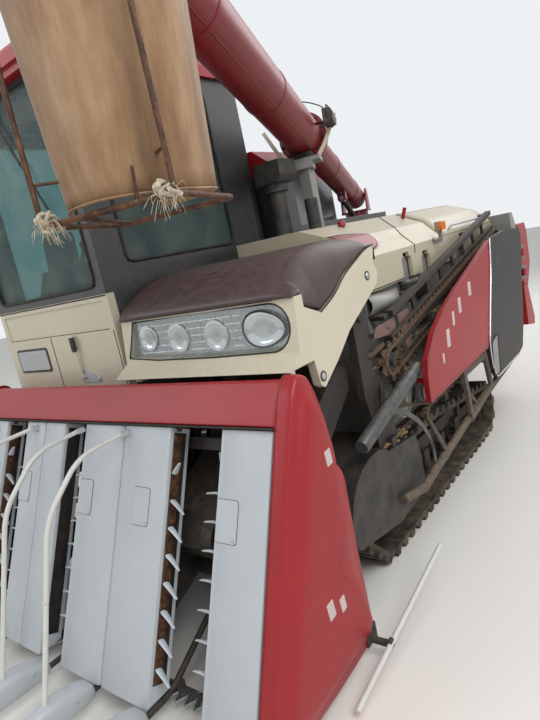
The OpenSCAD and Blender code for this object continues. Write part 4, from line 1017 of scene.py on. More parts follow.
@dataclass
class Chute:
    """Curled sheet that hangs under the auger's mouth, with its rods, its ring and their cord ties."""

    mouth: Point = (0.948, -1.762, 0.0)
    # Radius at the sheet's lower and upper edge
    radii: tuple[float, float] = (0.212, 0.260)
    low: float = 1.850
    high: float = 2.549
    edges_deg: tuple[float, float] = (-151.0, 102.0)
    sheet: float = 0.004
    rod: float = 0.0085
    ring_half: float = 0.198
    strands: int = 70

    def frame(self) -> Matrix:
        """Gives the chute's own frame, whose -Y is the tube's direction."""
        return Matrix.Translation(self.mouth) @ Matrix.Rotation(BOOM_TURN, 4, "Z")

    def radius_at(self, height: float) -> float:
        """Gives the sheet's mean radius at a height."""
        drop = (self.high - height) / (self.high - self.low)
        return self.radii[0] * drop + self.radii[1] * (1 - drop)

    def curl(self, share: float, height: float) -> Point:
        """Finds a point of the sheet.

        Args:
            share: Place across the sheet, from 0 to 1.
            height: Height of the point.

        Returns:
            The point in the chute's frame.
        """
        a = radians(self.edges_deg[0] + (self.edges_deg[1] - self.edges_deg[0]) * share)
        drop = (self.high - height) / (self.high - self.low)
        dent = 0.003 * sin(7 * a + 3 * height) * drop + 0.004 * cos(2.2 * a) * drop
        # The free edges were rolled tighter than the middle
        tight = 0.012 * max(0.0, abs(share - 0.5) - 0.40) / 0.10
        r = self.radius_at(height) - 0.006 + dent - tight
        return (r * cos(a), r * sin(a), height)

    def build_sheet(self) -> None:
        """Rolls the sheet, with a folded hem at its lower edge."""
        blank = Blank(self.frame())
        heights = [self.low + (self.high - self.low) * k / 16 for k in range(17)]
        across = [k / 48 for k in range(49)]
        blank.skin([[self.curl(s, h + 0.006 * sin(9 * s) * (h < self.low + 0.02)) for s in across] for h in heights])
        blank.piece("chute_sheet", "boom", Finish.TAN_SHEET, thick=self.sheet, stands_for=["auger_spout"])
        hem = Blank(self.frame())
        edge = [self.curl(s, self.low + 0.004 + 0.006 * sin(9 * s)) for s in across]
        hem.sweep(edge, ring_section(0.0034, 6))
        hem.piece("chute_hem", "boom", Finish.TAN_SHEET)

    def build_hood(self) -> None:
        """Folds the hood that joins the sheet to the tube's mouth."""
        blank = Blank(BOOM)
        start, reach, half, wall = 3.891, 0.237, 0.148, 0.012
        for y in (-half, half - wall):
            blank.plate([
                (start, -half), (start + reach - 0.03, -half), (start + reach, -half + 0.03),
                (start + reach, half - 0.06), (start + reach - 0.07, half), (start, half),
            ], y, y + wall, "y")
        top = [
            (start, half), (start + reach - 0.07, half), (start + reach - 0.006, half - 0.055),
            (start + reach - 0.006, -half + 0.02),
        ]
        blank.skin([[(x, y, z - 0.006) for x, z in top] for y in (-half, half)])
        blank.piece("chute_hood", "boom", Finish.BLACK_PLASTIC, bevel=0.003)
        rim = Blank(BOOM)
        near, far, out = start + 0.03, start + reach - 0.03, half + 0.002
        corners = [(near, -out, -half), (far, -out, -half), (far, out, -half), (near, out, -half)]
        rim.sweep(corners, ring_section(0.006, 8), loop=True)
        for side in (-1, 1):
            rim.bolts([(start + 0.04 + 0.05 * k, side * (half + 0.001), -0.10) for k in range(4)], (0, side, 0))
        rim.piece("chute_hood_rim", "boom", Finish.STEEL)

    def ring_corners(self) -> list[Point]:
        """Gives the ring's four corners in the chute's frame."""
        h, z = self.ring_half, self.low - 0.018
        return [(-h, -h, z), (h, -h, z), (h, h, z), (-h, h, z)]

    def build_rods(self) -> None:
        """Bends the ring and hangs it on its two rods."""
        blank = Blank(self.frame())
        a, b, c, d = (Vector(p) for p in self.ring_corners())
        start = (a + b) / 2
        blank.sweep(rounded([start, b, c, d, a, start], 0.045, 7), ring_section(self.rod, 12))
        for corner in (a, b):
            neck = Vector((corner.x, corner.y, self.high + 0.045))
            head = Vector((corner.x * 0.74, corner.y * 0.64, self.high + 0.100))
            foot = corner + Vector((0, 0, 0.004))
            blank.sweep(rounded([foot, neck, head], 0.03), ring_section(self.rod * 0.94, 12))
            for z in (self.low + 0.09, self.high - 0.09):
                out = Vector((corner.x, corner.y, 0)).normalized() * (self.radius_at(z) - 0.008)
                blank.rod([(corner.x, corner.y, z), (out.x, out.y, z)], 0.0045)
        # A brace across the ring's rear, a stub that stands on its front, and the corner gusset
        blank.rod([d + Vector((0.03, 0, 0)), a + Vector((0.10, 0.012, 0.004))], self.rod * 0.8)
        stub = a.lerp(b, 0.74)
        blank.rod([stub, stub + Vector((0.006, 0.0, 0.085))], 0.0045)
        for side in (-0.012, 0.012):
            blank.rod([stub + Vector((side, 0, 0.004)), stub + Vector((0.002, 0, 0.026))], 0.0032)
        blank.plate(
            [(a.x - 0.004, a.y), (a.x + 0.075, a.y), (a.x - 0.004, a.y + 0.075)], a.z - 0.006, a.z - 0.003, "z"
        )
        blank.rod([a + Vector((0, 0, -0.002)), a + Vector((0.0, 0.004, 0.055))], 0.004)
        blank.piece("chute_ring", "boom", Finish.DARK_RUST)

    def build_ties(self) -> None:
        """Winds the cord that ties each rod to the ring, and frays its ends."""
        rng = random.Random(7)
        knot_r, cord_r = 0.0155, 0.0042
        for number, corner in enumerate(self.ring_corners()[:2]):
            blank = Blank(self.frame())
            middle = Vector(corner) + Vector((0.02 if corner[0] < 0 else -0.018, 0.0, 0.006))
            for _ in range(9):
                centre = middle + drawn(rng, (-0.026, 0.026), (-0.004, 0.004), (-0.006, 0.016))
                lean, turn = rng.uniform(-0.9, 0.9), rng.uniform(-0.7, 0.7)
                tilt = Matrix.Rotation(lean, 4, "Y") @ Matrix.Rotation(turn, 4, "Z")
                loop = []
                for a in angles(14):
                    wobble = rng.uniform(-0.0015, 0.0015)
                    loop.append(centre + tilt @ Vector((wobble, knot_r * cos(a), knot_r * sin(a))))
                blank.sweep(loop, ring_section(cord_r, 7), loop=True)
            blank.piece(f"chute_tie_{number + 1}", "boom", Finish.CORD)
            fray = Blank(self.frame())
            for _ in range(self.strands):
                start = middle + drawn(rng, (-0.03, 0.03), (-0.008, 0.008), (-0.01, 0.014))
                out = drawn(rng, (-1, 1), (-1, 0.6), (-1.3, 0.7)).normalized()
                size = rng.uniform(0.02, 0.055)
                bend = start + out * size * 0.55
                droop = Vector((rng.uniform(-0.4, 0.4), rng.uniform(-0.3, 0.3), -0.75))
                tip = bend + (out * 0.35 + droop) * size * 0.7
                fray.sweep(rounded([start, bend, tip], 0.02, 3), ring_section(0.0007, 3))
            fray.piece(f"chute_fray_{number + 1}", "boom", Finish.CORD)

    def build(self) -> None:
        """Builds the whole chute."""
        self.build_sheet()
        self.build_hood()
        self.build_rods()
        self.build_ties()


@dataclass
class UnloadingTube:
    """The auger's tube: its seams, its flange bolts, the channel on top with its wires, and the work lamp."""

    join: float = 1.720
    length: float = 3.900
    rear_r: float = 0.095
    front_r: float = 0.122
    channel_half: float = 0.046
    channel_top: float = 0.148

    def build_seams(self) -> None:
        """Rolls the bands and the flange bolts on the tube."""
        blank = Blank(BOOM)
        along = Matrix.Rotation(pi / 2, 4, "Y")
        for s, r in ((0.30, self.rear_r), (1.05, self.rear_r), (2.45, self.front_r), (3.25, self.front_r)):
            place = Matrix.Translation((s, 0, 0)) @ along
            blank.turned([(r - 0.001, 0), (r + 0.004, 0.002), (r + 0.004, 0.028), (r - 0.001, 0.030)], place, 48)
        blank.piece("tube_bands", "boom", Finish.TUBE_RED)
        bolts = Blank(BOOM)
        for k in range(12):
            a = tau * (k + 0.5) / 12
            spot = (self.join + 0.022, 0.139 * cos(a), 0.139 * sin(a))
            bolts.bolts([spot], (1, 0, 0), 0.010, 0.009)
            bolts.bolts([(self.join - 0.026, spot[1], spot[2])], (-1, 0, 0), 0.010, 0.009)
        bolts.piece("flange_bolts", "boom", Finish.CAST)
        # Seam along the underside, where the sheet was rolled and welded
        weld = Blank(BOOM)
        for s0, s1, r in ((0.06, self.join - 0.03, self.rear_r), (self.join + 0.03, self.length - 0.04, self.front_r)):
            a = radians(-62)
            path = [(s0 + (s1 - s0) * k / 60, r * cos(a) + 0.0006 * (k % 2), r * sin(a)) for k in range(61)]
            weld.sweep(path, ring_section(0.0035, 6))
        weld.piece("tube_weld", "boom", Finish.TUBE_RED)

    def build_wires(self) -> None:
        """Lays the wires and hoses beside the channel, with their clips."""
        blank = Blank(BOOM)
        rng = random.Random(11)
        for side, lift, radius in ((0.056, 0.118, 0.006), (0.066, 0.112, 0.0045), (-0.057, 0.118, 0.007)):
            path = []
            for k in range(46):
                s = self.join + 0.04 + (self.length - self.join - 0.12) * k / 45
                sag = 0.005 * sin(s * 9 + side * 90) + rng.uniform(-0.0015, 0.0015)
                path.append((s, side + sag * 0.6, lift + abs(sag)))
            blank.sweep(path, ring_section(radius, 8))
        # The cord wound round the wires
        r = 0.012
        for k in range(34):
            s = self.join + 0.16 + k * 0.06
            coil = [(s + r * cos(a), 0.060 + r * sin(a * 2), 0.124 + r * sin(a)) for a in angles(12)]
            blank.sweep(coil, ring_section(0.0016, 4), loop=True)
        blank.piece("tube_wires", "boom", Finish.BLACK_PLASTIC)
        clips = Blank(BOOM)
        clip = [(0.046, 0.128), (0.052, 0.130), (0.070, 0.124), (0.076, 0.112), (0.071, 0.104)]
        for k in range(6):
            s = self.join + 0.24 + k * 0.36
            clips.through(clip, (s, s + 0.02))
        clips.piece("tube_clips", "boom", Finish.STEEL, thick=0.002)

    def build_channel(self) -> None:
        """Folds the lid of the channel, with its turned lips and screws."""
        lid = Blank(BOOM)
        h, top = self.channel_half, self.channel_top
        right = [(h - 0.004, top + 0.003), (h + 0.003, top - 0.002), (h + 0.003, top - 0.022)]
        section = [(-y, z) for y, z in reversed(right)] + right
        lid.through(section, (self.join + 0.06, self.join + 0.9, self.join + 0.902, self.length - 0.06))
        lid.piece("channel_lid", "boom", Finish.TUBE_RED, thick=0.0015)
        screws = Blank(BOOM)
        for side in (1, -1):
            spots = [(self.join + 0.14 + 0.27 * k, side * (h + 0.003), top - 0.012) for k in range(8)]
            screws.bolts(spots, (0, side, 0), 0.006, 0.005)
        screws.piece("channel_screws", "boom", Finish.STEEL)

    def build_lamp(self) -> None:
        """Builds the work lamp: finned housing, ribbed lens, bracket and wire guard."""
        y0 = self.front_r + 0.052
        body = Blank(BOOM)
        section = [(-0.018, 0.0), (-0.020, 0.030), (-0.006, 0.060), (0.034, 0.064), (0.066, 0.052), (0.070, 0.0)]
        body.skin([[(x, y0 + b, a) for a, b in section] for x in (1.802, 1.808, 1.902, 1.908)], ring=True)
        for k in range(7):
            x = 1.815 + 0.013 * k
            body.block((x, y0 + 0.010, 0.058), (x + 0.004, y0 + 0.050, 0.074))
        body.piece("auger_lamp_body", "boom", Finish.BLACK_PLASTIC, bevel=0.002, stands_for=["auger_lamp"])
        lens = Blank(BOOM)
        rows = []
        for i in range(25):
            x = 1.808 + 0.094 * i / 24
            rib = 0.002 * (i % 2)
            rows.append([(x, y0 + out - rib, z) for out, z in ((0.062, -0.014), (0.0665, 0.020), (0.062, 0.054))])
        lens.skin(rows)
        lens.piece("auger_lamp_lens", "boom", Finish.LENS, thick=0.002)
        mount = Blank(BOOM)
        strap = [(self.front_r - 0.004, 0.012), (self.front_r + 0.030, 0.012), (self.front_r + 0.056, 0.004)]
        mount.through(strap, (1.836, 1.872))
        guard = ((1.80, 0.02), (1.785, 0.03), (1.785, 0.085), (1.90, 0.098), (1.925, 0.04), (1.91, 0.02))
        mount.rod([(x, y0 + 0.03, z) for x, z in guard], 0.004)
        mount.bolts([(1.908, y0 + 0.03, 0.02)], (1, 0, 0), 0.008)
        mount.piece("auger_lamp_mount", "boom", Finish.DARK_RUST, thick=0.003)
        wire = Blank(BOOM)
        lead = [(1.855, y0 + 0.02, 0.06), (1.86, y0, 0.10), (1.90, y0 - 0.06, 0.125), (1.97, 0.066, 0.118)]
        wire.rod(lead + [(2.05, 0.062, 0.118)], 0.0035, 0.05)
        wire.piece("auger_lamp_wire", "boom", Finish.BLACK_PLASTIC)

    def build_cradle(self) -> None:
        """Adds the cradle's two guide prongs and its rubber pads, on the post."""
        s, drop = 1.820, self.front_r + 0.001
        prongs = Blank(BOOM)
        for side in (-1, 1):
            route = [
                (s, side * 0.100, -drop - 0.045), (s, side * 0.150, -drop + 0.020),
                (s - 0.005, side * 0.232, -drop + 0.185),
            ]
            prongs.sweep(rounded(route, 0.03), flat_section(0.012, 0.003), up=(1, 0, 0))
        prongs.piece("cradle_prongs", "chassis", Finish.CREAM)
        buffer = Blank(BOOM)
        buffer.block((s - 0.060, -0.060, -drop - 0.041), (s + 0.010, 0.060, -drop - 0.001))
        buffer.piece("cradle_buffer", "chassis", Finish.SEAL, bevel=0.004)

    def build(self) -> None:
        """Builds everything on the tube."""
        self.build_seams()
        self.build_wires()
        self.build_channel()
        self.build_lamp()
        self.build_cradle()


# Crop header


@dataclass
class TineCases:
    """The pale cases whose tines lift the stalks, with their hatches, their chains and their folding tines."""

    # [left edge, width, side that the tines stand on, the hatch's distance from the left edge]
    cases: tuple[tuple[float, float, int, float], ...] = (
        (-1.046, 0.206, 1, 0.048), (-0.636, 0.360, -1, 0.008), (-0.112, 0.292, -1, 0.010), (0.184, 0.292, 1, 0.102),
        (0.750, 0.242, -1, 0.010),
    )
    # Front and rear of a case's level foot, along the face
    foot: tuple[float, float] = (-0.050, -0.002)
    depth: float = 0.105
    length: float = 1.000
    corner: float = 0.012
    tine: float = 0.086
    tine_count: int = 8
    pitch: float = 0.104
    hatch: tuple[float, float] = (0.100, 0.150)
    hatch_low: float = 0.602
    # The joggle along one edge of a pressing: its distance from the edge and its step
    joggle: tuple[float, float] = (0.026, 0.003)
    chain_links: int = 19
    # [share of the length, width, thickness] along a tine
    tine_profile: tuple[tuple[float, float, float], ...] = (
        (0, 0.030, 0.012), (0.12, 0.034, 0.012), (0.45, 0.027, 0.010), (0.8, 0.018, 0.008), (0.96, 0.013, 0.006),
        (1.0, 0.006, 0.003),
    )
    # How far the tines of a front run, of an upper run and at the bend stand up, in radians
    tilts: tuple[float, float, float] = (-0.49, 0.035, 1.15)

    def build_case(self, number: int, left: float, width: float, side: int, hatch_in: float) -> None:
        """Presses one case, as one or two panels side by side.

        Args:
            number: The case's number, for its name.
            left: Its left edge.
            width: Its width.
            side: Side that its tines stand on.
            hatch_in: The hatch's distance from the left edge.
        """
        shell, hatch, seam = Blank(FACE), Blank(FACE), Blank(FACE)
        panels = 2 if width > 0.30 else 1
        for k in range(panels):
            x0, x1 = left + width / panels * k, left + width / panels * (k + 1)
            x0, x1 = x0 + (0.002 if k else 0), x1 - (0.002 if k < panels - 1 else 0)
            inset, rise = self.joggle
            step = x1 - inset if side > 0 or panels == 2 and k == 0 else x0 + inset
            left_y, right_y = (rise, 0.0) if step < (x0 + x1) / 2 else (0.0, rise)
            front = [
                (x0 + self.corner, left_y), (step - rise, left_y), (step + rise, right_y), (x1 - self.corner, right_y),
            ]
            left_edge = [(x0, self.depth), (x0, self.corner), (x0 + 0.0035, 0.0035)]
            right_edge = [(x1 - 0.0035, 0.0045), (x1, self.corner), (x1, self.depth)]
            section = left_edge + front + right_edge
            fall = (self.foot[1] - self.foot[0]) / self.depth
            rows = [[(x, y, self.foot[0] + fall * y + lift) for x, y in section] for lift in (0.0, 0.012)]
            rows += [[(x, y, z) for x, y in section] for z in (self.length - 0.006, self.length)]
            shell.skin(rows, ring=True)
            w, h = self.hatch
            mid, low = x0 + hatch_in + w / 2, self.hatch_low
            plan = rounded_box((mid - w / 2, low), (mid + w / 2, low + h), 0.014)
            gap = [(mid + (a - mid) * 1.03, low + h / 2 + (b - low - h / 2) * 1.02) for a, b in plan]
            if k:
                continue
            seam.plate(gap, -0.0008, 0.004, "y")
            hatch.plate(plan, -0.0032, 0.004, "y")
            hatch.bolts([(mid + w * 0.36, -0.0032, low + 0.015)], (0, -1, 0), 0.004, 0.0025)
        shell.piece(f"tine_case_{number}", "header", Finish.PALE_GREY, bevel=0.0015)
        seam.piece(f"hatch_gap_{number}", "header", Finish.SEAL)
        hatch.piece(f"hatch_{number}", "header", Finish.PALE_GREY, bevel=0.001)
        lips = Blank(FACE)
        for x in (left - 0.0015, left + width - 0.0025):
            lips.block((x, 0.020, 0.03), (x + 0.004, self.depth - 0.02, self.length - 0.02))
        lips.piece(f"case_lips_{number}", "header", Finish.SEAL)

    def build_tines(self) -> None:
        """Moulds the tines on their chains. The front run's tines stand out and the upper ones fold."""
        chain, fingers = Blank(FACE), Blank(FACE)
        for left, width, side, _ in self.cases:
            foot = left + width if side > 0 else left
            a, b = sorted((foot, foot + side * 0.007))
            chain.block((a, 0.020, 0.036), (b, 0.060, self.length - 0.03))
            for k in range(self.chain_links):
                z = 0.06 + k * self.pitch / 2
                chain.knob(
                    [(0.011, 0.0), (0.011, 0.008), (0.006, 0.010)], (foot + side * 0.004, 0.040, z), (side, 0, 0), 10
                )
            for i in range(self.tine_count):
                z = 0.09 + i * self.pitch + (0 if side > 0 else self.pitch / 2)
                tilt = self.tilts[2] if i >= self.tine_count - 1 else self.tilts[0 if side > 0 else 1]
                rows = []
                for share, wide, thick in self.tine_profile:
                    run = self.tine * share * (0.92 if abs(tilt) < 1 else 0.7)
                    bow = 0.010 * share * share
                    cx, cz = foot + side * (0.006 + run * cos(tilt)), z + run * sin(tilt) - bow
                    oval = [(wide / 2 * cos(q), thick / 2 * sin(q)) for q in angles(10)]
                    rows.append([
                        (cx + t * -side * sin(tilt), 0.036 + w, cz + t * cos(tilt)) for w, t in oval
                    ])
                fingers.skin(rows, ring=True)
        chain.piece("tine_chains", "header", Finish.DARK_RUST)
        fingers.piece("tine_fingers", "header", Finish.NYLON, stands_for=["tines"], smooth=50)

    def build(self) -> None:
        """Builds every case and its tines."""
        for number, (left, width, side, hatch_in) in enumerate(self.cases, 1):
            self.build_case(number, left, width, side, hatch_in)
        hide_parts("tine_cases")
        self.build_tines()


@dataclass
class CropDividers:
    """The divider noses at the front, their struts and their bent guide rods."""

    # [x, shift of its guide rod's top end, number of guide rods]
    table: tuple[tuple[float, float, int], ...] = (
        (-1.000, 0.050, 1), (-0.640, 0.110, 1), (-0.190, 0.060, 1), (0.140, 0.060, 1), (0.470, 0.0, 0),
        (0.940, 0.0, 0),
    )
    rod: float = 0.0105
    # [place along the nose, half width, bottom, top]
    nose: tuple[tuple[float, float, float, float], ...] = (
        (-2.338, 0.004, 0.100, 0.108), (-2.325, 0.012, 0.090, 0.120), (-2.28, 0.022, 0.068, 0.138),
        (-2.18, 0.037, 0.063, 0.176), (-2.07, 0.050, 0.062, 0.180), (-1.99, 0.048, 0.063, 0.158),
        (-1.945, 0.044, 0.066, 0.138), (-1.938, 0.036, 0.080, 0.126),
    )

    def build(self) -> None:
        """Builds each divider."""
        noses, rods, clips, struts = Blank(), Blank(), Blank(), Blank()
        for x, shift, guides in self.table:
            rows = []
            for y, half, low, high in self.nose:
                mid, rise = (low + high) / 2, (high - low) / 2
                rows.append([
                    (x + half * power(cos(q), 0.6), y, mid + rise * power(sin(q), 0.75)) for q in angles(20)
                ])
            noses.skin(rows, ring=True)
            noses.bolts([(x + s * 0.049, -2.02, 0.13) for s in (-1, 1)], (0, -0.3, 1), 0.007, 0.004)
            if guides:
                route = [(x, -2.120, 0.172), (x, -1.905, 0.826), (x, -1.708, 1.006), (x + shift * 0.93, -1.489, 1.034)]
                rods.sweep(rounded(route, 0.085, 8), ring_section(self.rod, 12))
                end = Vector(route[-1])
                clips.sweep([end + Vector((0, -0.030, -0.002)), end + Vector((0.008, 0.006, 0.0))],
                            flat_section(0.016, 0.010))
            struts.rod([(x, -1.975, 0.078), (x, -1.79, 0.080), (x, -1.375, 0.317)], 0.0135, 0.05)
            struts.block((x - 0.020, -1.765, 0.060), (x + 0.020, -1.735, 0.098))
        noses.piece("divider_noses", "header", Finish.PALE_GREY, smooth=50, stands_for=["dividers"])
        rods.piece("guide_rods", "header", Finish.ROD_WHITE)
        clips.piece("rod_clips", "header", Finish.PALE_GREY, bevel=0.002)
        struts.piece("divider_struts", "header", Finish.CHASSIS, bevel=0.002)


@dataclass
class RedHood:
    """The header's red bar and its two side panels, the left one bulged."""

    bar_section: tuple[tuple[float, float], ...] = (
        (-0.008, 1.012), (-0.006, 1.060), (0.018, 1.176), (0.034, 1.186), (0.080, 1.186), (0.092, 1.176),
        (0.092, 1.062), (0.010, 1.010),
    )
    side_outline: tuple[tuple[float, float], ...] = (
        (-1.890, 0.150), (-1.474, 1.060), (-1.418, 1.178), (-1.366, 1.226), (-1.315, 1.209), (-1.286, 1.149),
        (-1.251, 1.014),
        (-1.250, 0.856), (-1.197, 0.791), (-1.200, 0.409), (-1.199, 0.060), (-1.500, 0.044), (-1.850, 0.052),
    )
    # [distance drawn in, x] across the left panel
    bulge: tuple[tuple[float, float], ...] = (
        (0.0, 1.001), (0.0, 1.046), (0.004, 1.058), (0.014, 1.064), (0.050, 1.068), (0.075, 1.078), (0.105, 1.092),
        (0.150, 1.0985),
        (0.24, 1.0995), (0.40, 1.0990),
    )
    centre: tuple[float, float] = (-1.40, 0.50)

    def build_bar(self) -> None:
        """Folds the bar across the top of the cases."""
        bar = Blank(FACE)
        bar.through(self.bar_section, (-1.054, -0.35, 0.35, 1.000), ring=True)
        bar.piece("header_bar", "header", Finish.RED, bevel=0.007, stands_for=["header_top_bar"])
        trim = Blank(FACE)
        trim.sweep(
            [(-1.052, 0.000, 1.006), (0.998, 0.000, 1.006)],
            [(-0.006, -0.004), (0.014, -0.004), (0.014, 0.004), (-0.006, 0.004)],
        )
        trim.piece("bar_seal", "header", Finish.SEAL)

    def build_panel(self, name: str, sign: int) -> None:
        """Forms one side panel.

        Args:
            name: The piece's name.
            sign: 1 for the left panel and -1 for the right one.
        """
        loop = rounded_loop(self.side_outline, 0.035, 4)
        panel = Blank()
        if sign > 0:
            rows = [[(x, a, b) for a, b in drawn_in(loop, inset, self.centre)] for inset, x in self.bulge]
        else:
            rows = [
                [(x, a, b) for a, b in drawn_in(loop, inset, self.centre)]
                for inset, x in ((0, -1.055), (0, -1.086), (0.004, -1.094), (0.014, -1.099), (0.4, -1.0995))
            ]
        panel.skin(rows, ring=True)
        stands_for = ["header_sides"] if sign > 0 else []
        panel.piece(name, "header", Finish.RED, smooth=40, stands_for=stands_for)
        edge = Blank()
        x = 1.0005 if sign > 0 else -1.0545
        edge.sweep([(x, a, b) for a, b in loop], ring_section(0.0035, 6), loop=True)
        edge.piece(name + "_edge", "header", Finish.TUBE_RED)

    def build_plates(self) -> None:
        """Sticks the bare, unlettered plates on the left panel."""
        plates, rims = Blank(), Blank()
        for y, z, turn, w, h in (
            (-1.335, 0.905, 0.25, 0.040, 0.062), (-1.50, 0.40, 0.30, 0.044, 0.070),
            (-1.425, 0.375, 0.30, 0.036, 0.060),
        ):
            for blank, grow, lift in ((rims, 1.0, 0.0008), (plates, 0.86, 0.0012)):
                loop = rounded_box((-w / 2 * grow, -h / 2 * grow), (w / 2 * grow, h / 2 * grow), 0.006)
                c, s = cos(turn), sin(turn)
                outline = [(y + a * c - b * s * 0.3, z + a * s * 0.3 + b * c) for a, b in loop]
                x = self.skin_x(y, z) + lift
                blank.plate(outline, x - 0.0015, x, "x")
        rims.piece("plate_rims", "header", Finish.CREAM)
        plates.piece("bare_plates", "header", Finish.PLATE)

    def skin_x(self, y: float, z: float) -> float:
        """Finds the left panel's outer face at a place in the side view."""
        hit = bpy.data.objects["side_panel_left"].ray_cast(Vector((1.3, y, z)), Vector((-1, 0, 0)))
        return hit[1].x if hit[0] else 1.0995

    def build_crop_rod(self) -> None:
        """Bends the rod that lays the standing crop aside, low on the left panel."""
        x, (rod_y, rod_z) = 1.150, (-1.238, 0.082)
        rod, foot = Blank(), Blank()
        rod.rod([(x, -1.540, 0.036), (x, -1.022, 0.112), (x, -0.655, 0.166)], 0.011, 0.06)
        foot.block((1.066, rod_y - 0.012, rod_z - 0.014), (x + 0.008, rod_y + 0.012, rod_z + 0.004))
        foot.block((x - 0.008, rod_y - 0.012, rod_z - 0.014), (x + 0.008, rod_y + 0.012, rod_z + 0.018))
        foot.block((1.060, rod_y - 0.040, rod_z - 0.020), (1.070, rod_y + 0.040, rod_z + 0.050))
        foot.bolts([(1.070, rod_y + s * 0.026, rod_z + 0.030) for s in (-1, 1)], (1, 0, 0), 0.007, 0.005)
        rod.piece("crop_rod", "header", Finish.ROD_WHITE)
        foot.piece("crop_rod_bracket", "header", Finish.CHASSIS, bevel=0.002)

    def build(self) -> None:
        """Builds the bar, the panels, the crop rod and the plates."""
        self.build_crop_rod()
        self.build_bar()
        self.build_panel("side_panel_left", 1)
        self.build_panel("side_panel_right", -1)
        self.build_plates()


# Headlamp cowl


@dataclass
class HeadlampCowl:
    """What sits in and on the headlamp cover: the reflectors behind the lens, its seal, the seams and the screws."""

    lens_low: float = 1.285
    lens_high: float = 1.466
    # Where the lens leans back, as [y, height] at its foot and its head
    lean: tuple[tuple[float, float], tuple[float, float]] = ((-1.266, 1.275), (-1.238, 1.476))
    # [x, height, radius] of the round reflectors
    bowls: tuple[tuple[float, float, float], ...] = (
        (0.185, 1.385, 0.058), (0.378, 1.372, 0.064), (0.602, 1.366, 0.066)
    )
    # Profiles of a bowl and a bulb, as [share of the bowl's radius, depth]
    bowl: Outline = ((1, 0.004), (0.98, 0.012), (0.90, 0.0125), (0.72, 0.0075), (0.45, 0.0035), (0.16, 0.002))
    bulb: Outline = ((0.17, 0.002), (0.19, 0.008), (0.14, 0.0125), (0.05, 0.0145))
    # The outer lamp is an oval: x, height, half width and half height
    outer: tuple[float, float, float, float] = (0.858, 1.373, 0.104, 0.070)
    back: float = -1.2285

    def lens_y(self, z: float) -> float:
        """Gives the lens's outer face at a height."""
        (y0, z0), (y1, z1) = self.lean
        return y0 + (y1 - y0) * (z - z0) / (z1 - z0)

    def lens_loop(self, inset: float = 0.0) -> list[tuple[float, float]]:
        """Gives the lens's outline in (x, z).

        Args:
            inset: How far the outline is drawn in.

        Returns:
            The points of the outline.
        """
        low, high = self.lens_low + inset, self.lens_high - inset
        mid, r = (low + high) / 2, (high - low) / 2
        straight = [(0.106 + inset, high), (0.052 + inset, low + 0.018), (0.250, low + 0.002), (0.600, low - 0.003)]
        bend = [radians(-82 + 172 * k / 12) for k in range(13)]
        return straight + [(0.900 + r * cos(a), mid + r * sin(a)) for a in bend]

    def build_lamps(self) -> None:
        """Presses the lamp's bright housing and its bowls."""
        housing = Blank()
        housing.plate(self.lens_loop(0.002), self.back - 0.001, self.back, "y")
        for step in range(5):
            z = self.lens_low + 0.030 + 0.030 * step
            housing.sweep([(0.09, self.back - 0.002, z), (0.74, self.back - 0.002, z)], ring_section(0.0022, 6))
        housing.piece("lamp_housing", "header", Finish.STEEL)
        bowls, bulbs, rims = Blank(), Blank(), Blank()
        for x, z, r in self.bowls:
            bowls.knob([(r * share, depth) for share, depth in self.bowl], (x, self.back, z), (0, -1, 0), 36)
            bulbs.knob([(r * share, depth) for share, depth in self.bulb], (x, self.back, z), (0, -1, 0), 20)
        x, z, wide, tall = self.outer
        rows = []
        for share, depth in (
            (1.0, 0.004), (0.99, 0.012), (0.93, 0.0125), (0.75, 0.0065), (0.45, 0.003), (0.15, 0.002)
        ):
            rows.append([
                (x + wide * share * cos(a), self.back - depth, z + tall * share * sin(a) * (1 - 0.18 * cos(a)))
                for a in angles(40)
            ])
        bowls.skin(rows, ring=True)
        bulbs.knob([(0.016, 0.002), (0.018, 0.009), (0.010, 0.014)], (x + 0.030, self.back, z - 0.006), (0, -1, 0), 20)
        rims.sweep([(a, self.back - 0.0135, b) for a, _, b in rows[1]], ring_section(0.0042, 8), loop=True)
        bowls.piece("lamp_bowls", "header", Finish.CHROME, smooth=60)
        bulbs.piece("lamp_bulbs", "header", Finish.LENS, smooth=60)
        rims.piece("outer_lamp_rim", "header", Finish.SEAL, smooth=60)

    def build_seal(self) -> None:
        """Beds the lens in its black seal and its cream bezel."""
        seal, bezel = Blank(), Blank()
        loop = self.lens_loop()
        seal.sweep(
            [(x, self.lens_y(z) - 0.001, z) for x, z in loop], ring_section(0.0038, 8), up=(0, -1, 0), loop=True
        )
        seal.piece("lens_seal", "header", Finish.SEAL, smooth=60)
        centre = (0.52, (self.lens_low + self.lens_high) / 2)
        wide = [(centre[0] + (x - centre[0]) * 1.018, centre[1] + (z - centre[1]) * 1.10) for x, z in loop]
        bezel.sweep(
            [(x, self.lens_y(z) + 0.004, z) for x, z in wide], ring_section(0.0060, 8), up=(0, -1, 0), loop=True
        )
        bezel.piece("lens_bezel", "header", Finish.CREAM, smooth=60)

    def build_bonnet(self) -> None:
        """Draws the crowned bonnet in one smooth sheet, down to the edge of the arch and the top of the cowl."""
        crown = (
            (-1.252, 1.4795), (-1.243, 1.498), (-1.180, 1.552), (-1.080, 1.612), (-0.960, 1.643), (-0.840, 1.652),
            (-0.700, 1.648), (-0.620, 1.628), (-0.556, 1.590),
        )
        hem = (
            (-1.252, 1.479), (-1.190, 1.479), (-1.183, 1.432), (-1.080, 1.389), (-0.958, 1.433), (-0.853, 1.499),
            (-0.643, 1.577), (-0.556, 1.589),
        )

